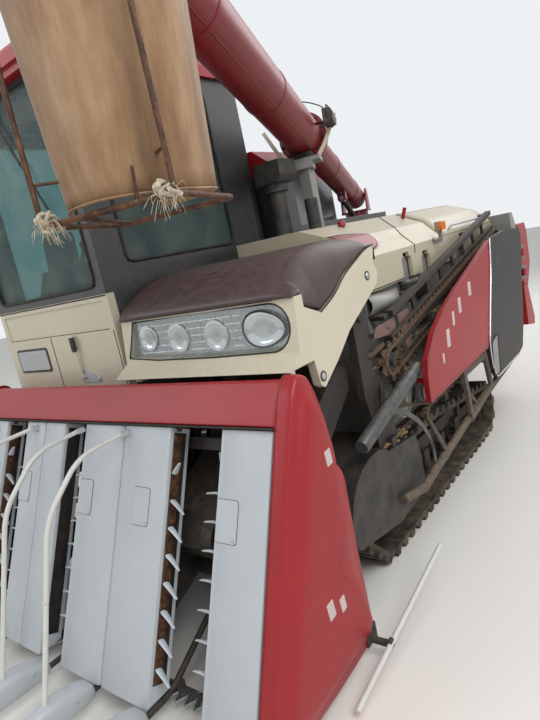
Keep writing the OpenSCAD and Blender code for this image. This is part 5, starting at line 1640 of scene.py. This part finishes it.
        def height(line: Outline, y: float) -> float:
            """Gives a line's height at y."""
            for (y0, z0), (y1, z1) in zip(line, line[1:]):
                if y <= y1:
                    return z0 + (z1 - z0) * (y - y0) / (y1 - y0)
            return line[-1][1]

        smooth = rounded([(0.0, y, z) for y, z in crown], 0.06, 6)
        crown = tuple((p.y, p.z) for p in smooth)
        skin = Blank()
        rows = []
        top = [0.0245 + 0.8755 * k / 12 for k in range(13)]
        shoulder = [0.900 + 0.1198 * sin(pi / 2 * k / 12) for k in range(1, 13)]
        for x in top + shoulder:
            end = max(0.0, (x - 0.900) / 0.120)
            fall = sqrt(max(0.0, 1 - end * end))
            row = []
            for k in range(61):
                y = -1.252 + 0.696 * k / 60
                low, high = height(hem, y), height(crown, y)
                row.append((x, y, low + (high - low) * fall))
            row += [(x, -0.5535, row[-1][2] - 0.012), (x, -0.5535, min(row[-1][2] - 0.012, 1.520))]
            rows.append(row)
        skin.skin(rows)
        skin.piece("bonnet_skin", "header", Finish.BROWN, thick=0.003, smooth=50, stands_for=("header_top_cover",))

    def build_trim(self) -> None:
        """Adds the bonnet's rubber edge, the seam of the arch and the screws."""
        edge = Blank()
        border = [(-0.556, 1.588), (-0.643, 1.576), (-0.853, 1.498), (-0.958, 1.432), (-1.080, 1.388)]
        edge.sweep(rounded([(1.0205, y, z) for y, z in border], 0.05), ring_section(0.0028, 6))
        edge.sweep([(0.03, -1.2505, 1.4775), (0.93, -1.2505, 1.4775)], ring_section(0.0026, 6))
        edge.piece("bonnet_seal", "header", Finish.SEAL)
        screws = Blank()
        screws.bolts([(1.020, -0.660, 1.462), (1.020, -1.148, 1.152)], (1, 0, 0), 0.012, 0.006)
        screws.piece("arch_screws", "header", Finish.STEEL, bevel=0.001)
        cups = Blank()
        for y, z in ((-0.660, 1.462), (-1.148, 1.152)):
            cups.knob([(0.021, 0.0), (0.021, 0.0022), (0.017, 0.0034), (0.012, 0.0010)], (1.020, y, z), (1, 0, 0), 28)
        cups.piece("arch_screw_cups", "header", Finish.BLACK_PLASTIC, smooth=60)

    def build(self) -> None:
        """Builds the cowl's pieces."""
        self.build_lamps()
        self.build_seal()
        self.build_bonnet()
        self.build_trim()


# Threshing side


@dataclass
class ThreshingSide:
    """Left side of the machine: the cream cover's seams and mark, the bare plates and the gear that shows in front."""

    # The cream cover's section in (x, z): skirt's head, knee and ridge
    section: tuple[tuple[float, float], ...] = ((0.890, 1.520), (0.770, 1.632), (0.540, 1.720))
    # The red oval, which is bare: its middle and half length along the cover, its middle and half height across it
    oval: tuple[float, float, float, float] = (-0.345, 0.275, 0.137, 0.104)
    cover_front: float = -0.398
    # The cream cover's rear flap: its rear edge and its height up the cover's faces
    flap: tuple[float, float] = (1.797, 0.395)
    # The flap's rail: front and rear end, distance up the cover's faces and height above the sheet
    rail: tuple[float, float, float, float] = (0.86, 1.70, 0.030, 0.045)
    # x of the planes just outside the red cover that its plates, its edge roll and its rear band lie on
    plate_x: float = 1.0602
    edge_x: float = 1.0605
    band_x: float = 1.0612
    # [y, height, length, width, turn in degrees] of the bare plates
    plates: tuple[tuple[float, float, float, float, float], ...] = (
        (0.540, 1.185, 0.085, 0.056, 8), (0.330, 1.125, 0.090, 0.050, 10), (0.200, 1.075, 0.080, 0.038, 10),
        (0.080, 0.990, 0.100, 0.052, 12), (-0.030, 0.905, 0.055, 0.026, 12),
    )
    # [x from, x to, y from, y to, height] of the ledges that straw and soil lie on
    ledges: tuple[tuple[float, float, float, float, float], ...] = (
        (0.866, 0.935, -0.560, -0.300, 1.004), (0.862, 0.985, -0.300, -0.210, 0.915),
        (0.870, 0.940, -0.150, 0.350, 1.052), (0.868, 0.950, -0.600, -0.340, 0.622),
        (0.905, 0.945, -0.62, 0.50, 0.622), (0.870, 0.940, 0.10, 0.80, 1.120),
    )
    straws: int = 60
    clods: int = 12
    straw_seed: int = 11

    def on_cover(self, y: float, s: float, lift: float = 0.002) -> Point:
        """Finds a point on the cover's slanted faces.

        Args:
            y: Place along the machine.
            s: Distance up the faces from the skirt's head.
            lift: Height above the sheet.

        Returns:
            The point.
        """
        a, b, c = (Vector(p) for p in self.section)
        first = (b - a).length
        start, run, along = (a, s, (b - a).normalized()) if s <= first else (b, s - first, (c - b).normalized())
        p = start + along * run
        out = Vector((along.y, -along.x)) if along.x < 0 else Vector((-along.y, along.x))
        return (p.x + abs(out.x) * lift, y, p.y + abs(out.y) * lift)

    def build_mark(self) -> None:
        """Lays the bare red oval on the cover, cut off at its front edge, with its thin pale border."""
        middle, half, s_mid, s_half = self.oval
        for name, grow, lift, finish in (
            ("oval_border", 1.05, 0.0016, Finish.PLATE), ("red_oval", 1.0, 0.0022, Finish.TUBE_RED)
        ):
            blank = Blank()
            rows = []
            start, end = self.cover_front, middle + half * grow
            for k in range(25):
                y = start + (end - start) * sin(pi / 2 * k / 24)
                tall = s_half * grow * sqrt(max(0.0, 1 - ((y - middle) / (half * grow)) ** 2))
                rows.append([self.on_cover(y, s_mid + tall * (n / 8 - 1), lift) for n in range(17)])
            blank.skin(rows)
            blank.piece(name, "chassis", finish, thick=0.0006, smooth=60)

    def build_seams(self) -> None:
        """Scores the cover's panel joints and lays its rear flap with the flap's rail."""
        seam = Blank()
        skirt_x = 0.8915
        joint = [
            self.on_cover(0.560, 0.405), self.on_cover(0.280, 0.170), self.on_cover(0.235, 0.105),
            (skirt_x, 0.225, 1.520), (skirt_x, 0.215, 1.475),
        ]
        seam.sweep(joint, [(-0.003, -0.001), (0.003, -0.001), (0.003, 0.0012), (-0.003, 0.0012)], up=(1, 0, 0.8))
        seam.rod([(skirt_x, -0.395, 1.360), (skirt_x, 0.015, 1.360)], 0.0025)
        seam.piece("cover_seam", "chassis", Finish.SEAL)
        flap = Blank()
        rear, tall = self.flap
        rows = []
        for k in range(13):
            t = k / 12
            front = 0.800 - 0.12 * sin(pi / 2 * t)
            s = tall * (1 - t)
            rows.append([self.on_cover(front + (rear - front) * n / 8, s, 0.006) for n in range(9)])
        flap.skin(rows)
        # The flap takes the cover's darker copy of the cream, which holds painted shade
        flap.piece("rear_flap", "chassis", Finish.COVER_CREAM_PAINTED_SHADE, thick=0.005, smooth=40)
        rail = Blank()
        start, end, s, stand = self.rail
        feet = self.on_cover(start, s, 0.0), self.on_cover(end, s, 0.0)
        rail.rod([feet[0], self.on_cover(start, s, stand), self.on_cover(end, s, stand), feet[1]], 0.0085, 0.03)
        rail.piece("flap_rail", "chassis", Finish.PALE_GREY)
        post = Blank()
        post.rod([self.on_cover(0.70, 0.30, 0.0), self.on_cover(0.70, 0.30, 0.07)], 0.012)
        knob_at = self.on_cover(-0.02, 0.36, 0.0)
        post.knob([(0.022, 0.0), (0.022, 0.026), (0.014, 0.034)], knob_at, (0, 0, 1), 24)
        post.piece("flap_latch", "chassis", Finish.RED, smooth=50)

    def build_plates(self) -> None:
        """Sticks the bare plates on the red cover, and runs its rubber edge."""
        plates, rims = Blank(), Blank()
        x = self.plate_x
        for y, z, tall, wide, turn in self.plates:
            c, s = cos(radians(turn)), sin(radians(turn))
            for blank, grow, lift in ((rims, 1.0, 0.0), (plates, 0.88, 0.0006)):
                a, b = wide / 2 * grow, tall / 2 * grow
                loop = rounded_box((-a, -b), (a, b), 0.006)
                outline = [(y + p * c + q * s * 0.6, z + q * c - p * s * 0.2) for p, q in loop]
                blank.plate(outline, x - 0.001, x + 0.0004 + lift, "x")
        rims.piece("side_plate_rims", "chassis", Finish.CREAM)
        plates.piece("bare_side_plates", "chassis", Finish.PLATE)
        edge = Blank()
        outline = [
            (-0.288, 0.742), (-0.282, 0.880), (-0.248, 0.962), (-0.120, 1.068), (0.060, 1.148), (0.300, 1.222),
            (0.700, 1.325), (1.067, 1.425),
            (1.000, 1.215), (0.880, 0.985), (0.770, 0.762),
        ]
        route = [(self.edge_x, y, z) for y, z in outline + outline[:1]]
        edge.sweep(rounded(route, 0.05), ring_section(0.0045, 8))
        edge.piece("red_cover_edge", "chassis", Finish.TUBE_RED)
        band = Blank()
        rear = [
            (1.085, 1.430), (1.018, 1.215), (0.898, 0.985), (0.788, 0.762), (0.800, 0.600), (0.860, 0.520),
            (1.480, 0.520),
        ]
        band.sweep(rounded([(self.band_x, y, z) for y, z in rear], 0.06), ring_section(0.0060, 8))
        band.piece("rear_cover_band", "chassis", Finish.STEEL)

    def build_rear_panel(self) -> None:
        """Adds the pale hatch at the rear cover's foot, its latch pocket and the marker lamp on the cream cover."""
        hatch, rim, pocket = Blank(), Blank(), Blank()
        loop = rounded_loop([(0.800, 0.548), (0.832, 0.770), (0.985, 0.800), (0.935, 0.530)], 0.03)
        hatch.plate(loop, 1.058, 1.0615, "x")
        hatch.piece("rear_hatch", "chassis", Finish.BODY_GREY, bevel=0.001)
        rim.sweep([(self.band_x, y, z) for y, z in loop], ring_section(0.005, 8), up=(1, 0, 0), loop=True)
        rim.piece("rear_hatch_seal", "chassis", Finish.SEAL, smooth=60)
        pocket.plate(rounded_box((1.160, 1.240), (1.235, 1.330), 0.012), 1.0595, 1.0608, "x")
        pocket.piece("cover_latch_pocket", "chassis", Finish.BLACK_PLASTIC)
        lens, base = Blank(), Blank()
        lens.plate(rounded_box((0.483, 1.563), (0.553, 1.615), 0.010), 0.944, 0.968, "x")
        for k in range(9):
            lens.block((0.9675, 0.488 + 0.0075 * k, 1.568), (0.9695, 0.491 + 0.0075 * k, 1.610))
        lens.piece("marker_lamp", "chassis", Finish.AMBER, bevel=0.003, stands_for=("side_lamp",))
        base.plate(rounded_box((0.481, 1.5605), (0.555, 1.6175), 0.010), 0.926, 0.9445, "x")
        base.sweep(
            rounded([(0.940, 0.518, 1.562), (0.940, 0.518, 1.502), (0.892, 0.518, 1.498)], 0.012),
            flat_section(0.012, 0.0025), up=(0, 1, 0),
        )
        base.bolts([(0.893, 0.518, 1.515)], (1, 0, 0), 0.008, 0.006)
        base.piece("marker_lamp_base", "chassis", Finish.BODY_GREY, bevel=0.0015)

    def build_guards(self) -> None:
        """Rolls the grey guard under the cream cover and its two crop funnels."""
        guard = Blank()
        rows = []
        for k in range(15):
            y = -0.425 + 0.395 * k / 14
            swell = sin(pi * min(1.0, 0.15 + 0.85 * k / 14)) ** 0.5
            rows.append([
                (0.866 + 0.052 * sin(pi * n / 9) * swell, y, 1.352 - 0.118 * n / 9 - 0.03 * k / 14)
                for n in range(10)
            ])
        guard.skin(rows)
        guard.piece("drum_guard", "chassis", Finish.BODY_GREY, thick=0.003, smooth=50)
        funnels = Blank()
        for y, low in ((0.045, 1.225), (0.235, 1.205)):
            rows = []
            for k in range(7):
                t = k / 6
                r = 0.030 + 0.045 * t ** 0.6
                rows.append([
                    (0.872 + r * 1.05 * sin(pi * n / 14), y - r * cos(pi * n / 14), low + 0.125 * t)
                    for n in range(15)
                ])
            funnels.skin(rows)
        funnels.piece("crop_funnels", "chassis", Finish.DARK, thick=0.003, smooth=50)

    def build_linkage(self) -> None:
        """Welds up the gear ahead of the red cover: the big strut, its brackets, the faded lever and the pipes."""
        strut = Blank()
        low, high = Vector((0.995, -0.930, 0.763)), Vector((0.995, -0.235, 0.926))
        along = (high - low).normalized()
        profile = [
            (0.0, 0.0), (0.029, 0.0), (0.034, 0.006), (0.034, 0.55), (0.037, 0.552), (0.037, 0.60), (0.030, 0.605),
            (0.030, 0.69), (0.0, 0.69),
        ]
        strut.knob(profile, low, along, 28)
        strut.piece("strut_tube", "chassis", Finish.GREY_TUBE, smooth=40)
        lugs = Blank()
        lugs.plate(rounded_loop([(-0.66, 1.15), (-0.56, 1.17), (-0.50, 0.98), (-0.60, 0.95)], 0.03), 0.900, 0.908, "x")
        lugs.plate(rounded_loop([(-0.44, 1.02), (-0.24, 1.06), (-0.22, 1.00), (-0.40, 0.94)], 0.02), 0.930, 0.938, "x")
        lugs.block((0.862, -0.54, 1.020), (0.940, -0.48, 1.045))
        lugs.block((0.862, -0.36, 0.955), (0.962, -0.30, 0.985))
        lugs.rod([(0.862, -0.60, 1.08), (0.930, -0.60, 1.08), (0.930, -0.45, 1.10)], 0.014)
        lugs.rod([(0.862, -0.20, 1.10), (0.935, -0.155, 1.109), (0.935, 0.03, 1.169)], 0.011)
        lugs.rod([(0.862, -0.45, 0.780), (0.950, -0.43, 0.774), (0.955, 0.02, 0.640)], 0.010)
        lugs.bolts(
            [(0.908, -0.60, 1.10), (0.908, -0.57, 1.01), (0.938, -0.38, 1.00), (0.938, -0.28, 1.03)], (1, 0, 0), 0.011,
            0.009,
        )
        lugs.piece("linkage_brackets", "chassis", Finish.CAST, bevel=0.003)
        lever = Blank()
        arm = [(-0.55, 1.150), (-0.51, 1.197), (-0.13, 1.215), (-0.10, 1.190), (-0.20, 1.135), (-0.28, 1.120)]
        lever.plate(rounded_loop(arm, 0.02), 0.936, 0.943, "x")
        tail = [(-0.27, 1.150), (-0.16, 1.150), (-0.13, 1.10), (-0.175, 0.985), (-0.20, 0.99)]
        lever.plate(rounded_loop(tail, 0.015), 0.944, 0.950, "x")
        for y, z in ((-0.40, 1.178), (-0.37, 1.168)):
            lever.knob([(0.012, 0.0), (0.012, 0.004), (0.007, 0.004)], (0.943, y, z), (1, 0, 0), 16)
        lever.piece("faded_lever", "chassis", Finish.FADED_RED, bevel=0.002)
        posts = Blank()
        posts.block((0.862, -0.530, 1.150), (0.938, -0.500, 1.172))
        posts.block((0.862, -0.220, 1.120), (0.946, -0.190, 1.142))
        hoop = [
            (0.925, -0.570, 0.785), (0.955, -0.400, 0.740), (0.960, -0.215, 0.600), (0.960, -0.120, 0.440),
            (0.955, -0.110, 0.330),
        ]
        posts.sweep(rounded(hoop, 0.10, 8), flat_section(0.014, 0.003), up=(1, 0, 0))
        posts.piece("belt_guard_hoop", "chassis", Finish.GREY_TUBE, bevel=0.001)

    def build_hoses(self) -> None:
        """Routes the short hoses and wires that run from the deck to the lever, held at both ends."""
        hoses = Blank()
        for radius, *route in (
            (0.011, (0.870, -0.70, 0.640), (0.930, -0.66, 0.720), (0.940, -0.56, 0.860), (0.905, -0.50, 0.985),
             (0.870, -0.47, 1.030)),
            (0.009, (0.870, -0.62, 0.640), (0.915, -0.60, 0.760), (0.925, -0.45, 0.800), (0.905, -0.31, 0.880),
             (0.870, -0.26, 0.960)),
            (0.008, (0.870, -0.10, 0.660), (0.920, -0.14, 0.780), (0.930, -0.20, 0.900), (0.900, -0.16, 1.010),
             (0.870, -0.10, 1.060)),
        ):
            hoses.sweep(rounded(route, 0.09, 7), ring_section(radius))
        hoses.piece("short_hoses", "chassis", Finish.SEAL, smooth=60)

    def build_straw(self) -> None:
        """Scatters the chopped straw and the clods of soil that lodge on the ledges, each resting on one."""
        rng = random.Random(self.straw_seed)
        straw, clods = Blank(), Blank()
        for x0, x1, y0, y1, z in self.ledges:
            for _ in range(self.straws):
                x, y = rng.uniform(x0, x1), rng.uniform(y0, y1)
                turn, size, slope = rng.uniform(0, tau), rng.uniform(0.012, 0.040), rng.uniform(-0.25, 0.5)
                along = Vector((cos(turn) * 0.6, sin(turn), slope)) * size
                p = Vector((x, y, z + rng.uniform(0.0, 0.010)))
                straw.sweep([p - along * 0.5, p + along * 0.5], ring_section(rng.uniform(0.0008, 0.0018), 4))
            for _ in range(self.clods):
                x, y, r = rng.uniform(x0, x1), rng.uniform(y0, y1), rng.uniform(0.006, 0.016)
                rows = []
                for a in (pi / 2 * k / 4 for k in range(5)):
                    rows.append([])
                    for b in angles(8):
                        east = x + r * 1.3 * cos(a) * cos(b) * rng.uniform(0.8, 1.1)
                        north = y + r * 1.6 * cos(a) * sin(b) * rng.uniform(0.8, 1.1)
                        rows[-1].append((east, north, z - 0.004 + r * 0.7 * sin(a)))
                clods.skin(rows, ring=True)
        straw.piece("lodged_straw", "chassis", Finish.STRAW)
        clods.piece("lodged_soil", "chassis", Finish.SOIL, smooth=60)

    def build(self) -> None:
        """Builds the whole side."""
        self.build_mark()
        self.build_seams()
        self.build_plates()
        self.build_rear_panel()
        self.build_guards()
        self.build_linkage()
        self.build_hoses()
        self.build_straw()


# Cab


@dataclass(frozen=True)
class Cushion:
    """A sewn foam pad: its middle, its half sizes, how far it leans back and the sewn channels across it."""

    name: str
    centre: Point
    half: Point
    lean: float
    channels: tuple[float, ...]

    def build(self, stands_for: Sequence[str] = ()) -> None:
        """Sews the pad: crowned panels, sides drawn in between the corners, channels and piping.

        Args:
            stands_for: CAD nodes that the pad is shown in place of.
        """
        place = Matrix.Translation(self.centre) @ Matrix.Rotation(self.lean, 4, "X")
        pad, piping = Blank(place), Blank(place)
        wide, long, thick = self.half
        rows, seams = [], ([], [])
        steps, turns = 40, 44
        for i in range(steps + 1):
            v = -1 + 2 * i / steps
            end = (1 - abs(v) ** 7) ** (1 / 3.2)
            groove = sum(exp(-((v - c) / 0.035) ** 2) for c in self.channels)
            row = []
            for a in angles(turns):
                c, s = cos(a), sin(a)
                u, w = power(c, 0.32), power(s, 0.62)
                draw = 1 - 0.030 * (1 - v * v) * abs(u) ** 4
                crown = 1 + 0.16 * (1 - u * u) * (1 - v * v)
                side_roll = 0.10 * exp(-((abs(u) - 0.80) / 0.10) ** 2)
                relief = side_roll - 0.22 * groove * (1 - abs(u) ** 6) if w > 0 else 0
                height = thick * w * end ** 0.8 * (crown + relief) * 0.84
                across = wide * 0.98 * u * draw * (0.90 + 0.10 * end)
                row.append((across, long * 0.985 * v * (1 - 0.025 * (1 - u * u) * abs(v) ** 6), height))
            rows.append(row)
            seams[0].append(row[3])
            seams[1].append(row[turns // 2 - 3])
        pad.skin(rows, ring=True)
        made = pad.piece(self.name, "chassis", Finish.SEAT, rounds=1, smooth=80, stands_for=stands_for)
        for line in seams:
            piping.sweep(line[1:-1], ring_section(0.0035, 8))
        piping.piece(f"{self.name}_piping", "chassis", Finish.SEAL, smooth=60)


@dataclass
class DriversCab:
    """What shows through the cab's windows and on its front: seat, screen, levers, wiper and bare badge."""

    seat_x: float = -0.560
    front: float = -1.240
    pads: tuple[Cushion, ...] = (
        Cushion("seat_cushion", (-0.560, -0.318, 1.502), (0.238, 0.240, 0.062), 0.02, (-0.45, 0.0, 0.45)),
        Cushion("seat_back", (-0.560, -0.082, 1.780), (0.222, 0.268, 0.046), radians(82), (-0.5, -0.1, 0.3)),
    )

    def build_seat(self) -> None:
        """Sets the seat's pads on a moulded shell and a folding base with its boot."""
        for k, pad in enumerate(self.pads):
            pad.build(("seat",) if k == 0 else ())
        shell = Blank()
        outline = [
            (-0.430, 1.704), (-0.130, 1.664), (-0.098, 1.505), (-0.062, 1.505), (-0.062, 1.738), (-0.430, 1.746),
        ]
        x = self.seat_x
        for side in (-1, 1):
            arm = x + side * 0.262
            shell.plate(rounded_loop(outline, 0.018), arm - 0.022, arm + 0.022, "x")
            shell.block((min(x + side * 0.215, arm), -0.108, 1.505), (max(x + side * 0.215, arm), -0.068, 1.556))
        shell.piece("seat_arms", "chassis", Finish.BLACK_PLASTIC, bevel=0.008)
        base = Blank()
        rows = []
        square = rounded_box((-1, -1), (1, 1), 0.18)
        for k in range(19):
            z = 1.142 + 0.296 * k / 18
            grow = 0.006 * (k % 2)
            rows.append([(x + a * (0.180 + grow), -0.275 + b * (0.185 + grow), z) for a, b in square])
        base.skin(rows, ring=True)
        base.piece("seat_boot", "chassis", Finish.SEAL, smooth=30)

    def build_controls(self) -> None:
        """Mounts the screen, knobs and switches on the consoles, and the wiper on the windscreen."""
        screen, glass, keys = Blank(), Blank(), Blank()
        screen.plate(rounded_box((-0.698, 1.792), (-0.482, 1.968), 0.014), -1.020, -1.012, "y")
        screen.piece("screen_bezel", "chassis", Finish.BLACK_PLASTIC, bevel=0.002)
        glass.plate([(-0.682, 1.812), (-0.498, 1.812), (-0.498, 1.950), (-0.682, 1.950)], -1.012, -1.0115, "y")
        glass.piece("screen_glass", "chassis", Finish.LENS)
        for k in range(5):
            at = (-0.171, -0.66 + 0.09 * k, 1.6605 - 0.004 * k)
            keys.knob([(0.009, 0.0), (0.009, 0.006), (0.006, 0.009)], at, (0, 0, 1), 16)
        for k in range(6):
            col, row = 0.03 * (k % 2), 0.07 * (k // 2)
            keys.block((-0.232 + col, -0.60 + row, 1.650), (-0.210 + col, -0.565 + row, 1.664))
        keys.piece("console_switches", "chassis", Finish.RED, bevel=0.002)
        arm, blade = Blank(), Blank()
        y = self.front + 0.005
        arm.rod([(-0.551, y, 2.573), (-0.545, y - 0.012, 2.540), (-0.420, y - 0.014, 2.315)], 0.006)
        arm.knob([(0.018, 0.0), (0.018, 0.012), (0.011, 0.018)], (-0.551, y + 0.004, 2.573), (0, -1, 0), 20)
        arm.piece("wiper_arm", "chassis", Finish.BLACK_PLASTIC)
        route = [(-0.545, y - 0.009, 2.555), (-0.411, y - 0.012, 2.300), (-0.277, y - 0.009, 2.034)]
        blade.sweep(route, [(-0.005, -0.004), (0.005, -0.004), (0.0015, 0.008), (-0.0015, 0.008)])
        blade.piece("wiper_blade", "chassis", Finish.SEAL)

    def build_front(self) -> None:
        """Fixes the bare badge plate, the panel's seams and the bracket of the bent lever."""
        badge, face = Blank(), Blank()
        outline = rounded_box((-0.985, 1.262), (-0.665, 1.398), 0.020)
        badge.plate(outline, self.front - 0.004, self.front + 0.001, "y")
        badge.piece("bare_badge_rim", "chassis", Finish.BLACK_PLASTIC, bevel=0.001)
        face.plate(rounded_box((-0.973, 1.274), (-0.677, 1.386), 0.012), self.front - 0.0062, self.front - 0.003, "y")
        face.piece("bare_badge", "chassis", Finish.STEEL, bevel=0.001)
        seam = Blank()
        low, high, y = 0.956, 1.614, self.front - 0.0004
        for x in (-0.600, -0.045):
            seam.rod([(x, y, low), (x, y, 1.446)], 0.0022)
        seam.rod([(-1.052, y, high), (-0.038, y, high)], 0.0035)
        seam.rod([(-1.018, self.front + 0.004, 1.450), (-0.072, self.front + 0.004, 1.450)], 0.003)
        seam.piece("front_panel_seams", "chassis", Finish.SEAL)
        foot = Blank()
        outline = [
            (-0.400, 1.190), (-0.240, 1.190), (-0.240, 1.228), (-0.300, 1.240), (-0.340, 1.262), (-0.400, 1.262),
        ]
        foot.plate(rounded_loop(outline, 0.010), self.front - 0.003, self.front, "y")
        foot.bolts(
            [(-0.255, self.front - 0.003, 1.209), (-0.385, self.front - 0.003, 1.248)], (0, -1, 0), 0.009, 0.006
        )
        foot.piece("lever_foot", "chassis", Finish.PALE_GREY, bevel=0.001)
        grip = Blank()
        grip.knob(
            [(0.0095, 0.0), (0.014, 0.01), (0.014, 0.075), (0.009, 0.085)], (-0.380, -1.260, 1.360), (0, 0, 1), 20
        )
        grip.piece("lever_grip", "chassis", Finish.BLACK_PLASTIC, smooth=50)

    def build_seals(self) -> None:
        """Presses the rubber seals into the window openings."""
        seals = Blank()
        front = rounded_box((-0.998, 1.660), (-0.092, 2.640), 0.05)
        seals.sweep([(x, self.front - 0.001, z) for x, z in front], ring_section(0.008, 8), up=(0, -1, 0), loop=True)
        side = rounded_box((-1.070, 1.745), (-0.240, 2.620), 0.05)
        seals.sweep([(-0.0295, y, z) for y, z in side], ring_section(0.008, 8), up=(1, 0, 0), loop=True)
        seals.piece("window_seals", "chassis", Finish.SEAL, smooth=60)

    def build(self) -> None:
        """Builds what the cab carries."""
        self.build_seat()
        self.build_controls()
        self.build_front()
        self.build_seals()


# Scene

ASSEMBLIES = (Chute, UnloadingTube, TineCases, CropDividers, RedHood, HeadlampCowl, ThreshingSide, DriversCab)


def main() -> None:
    """Builds the scene and reports each step."""
    logging.basicConfig(level=logging.INFO, format="%(message)s")
    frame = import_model()
    Studio().build()
    dress(frame["nodes"])
    LOG.info("dressed %d nodes", len(frame["nodes"]))
    for assembly in ASSEMBLIES:
        assembly().build()
        LOG.info("built %s", assembly.__name__)


if __name__ == "__main__":
    main()
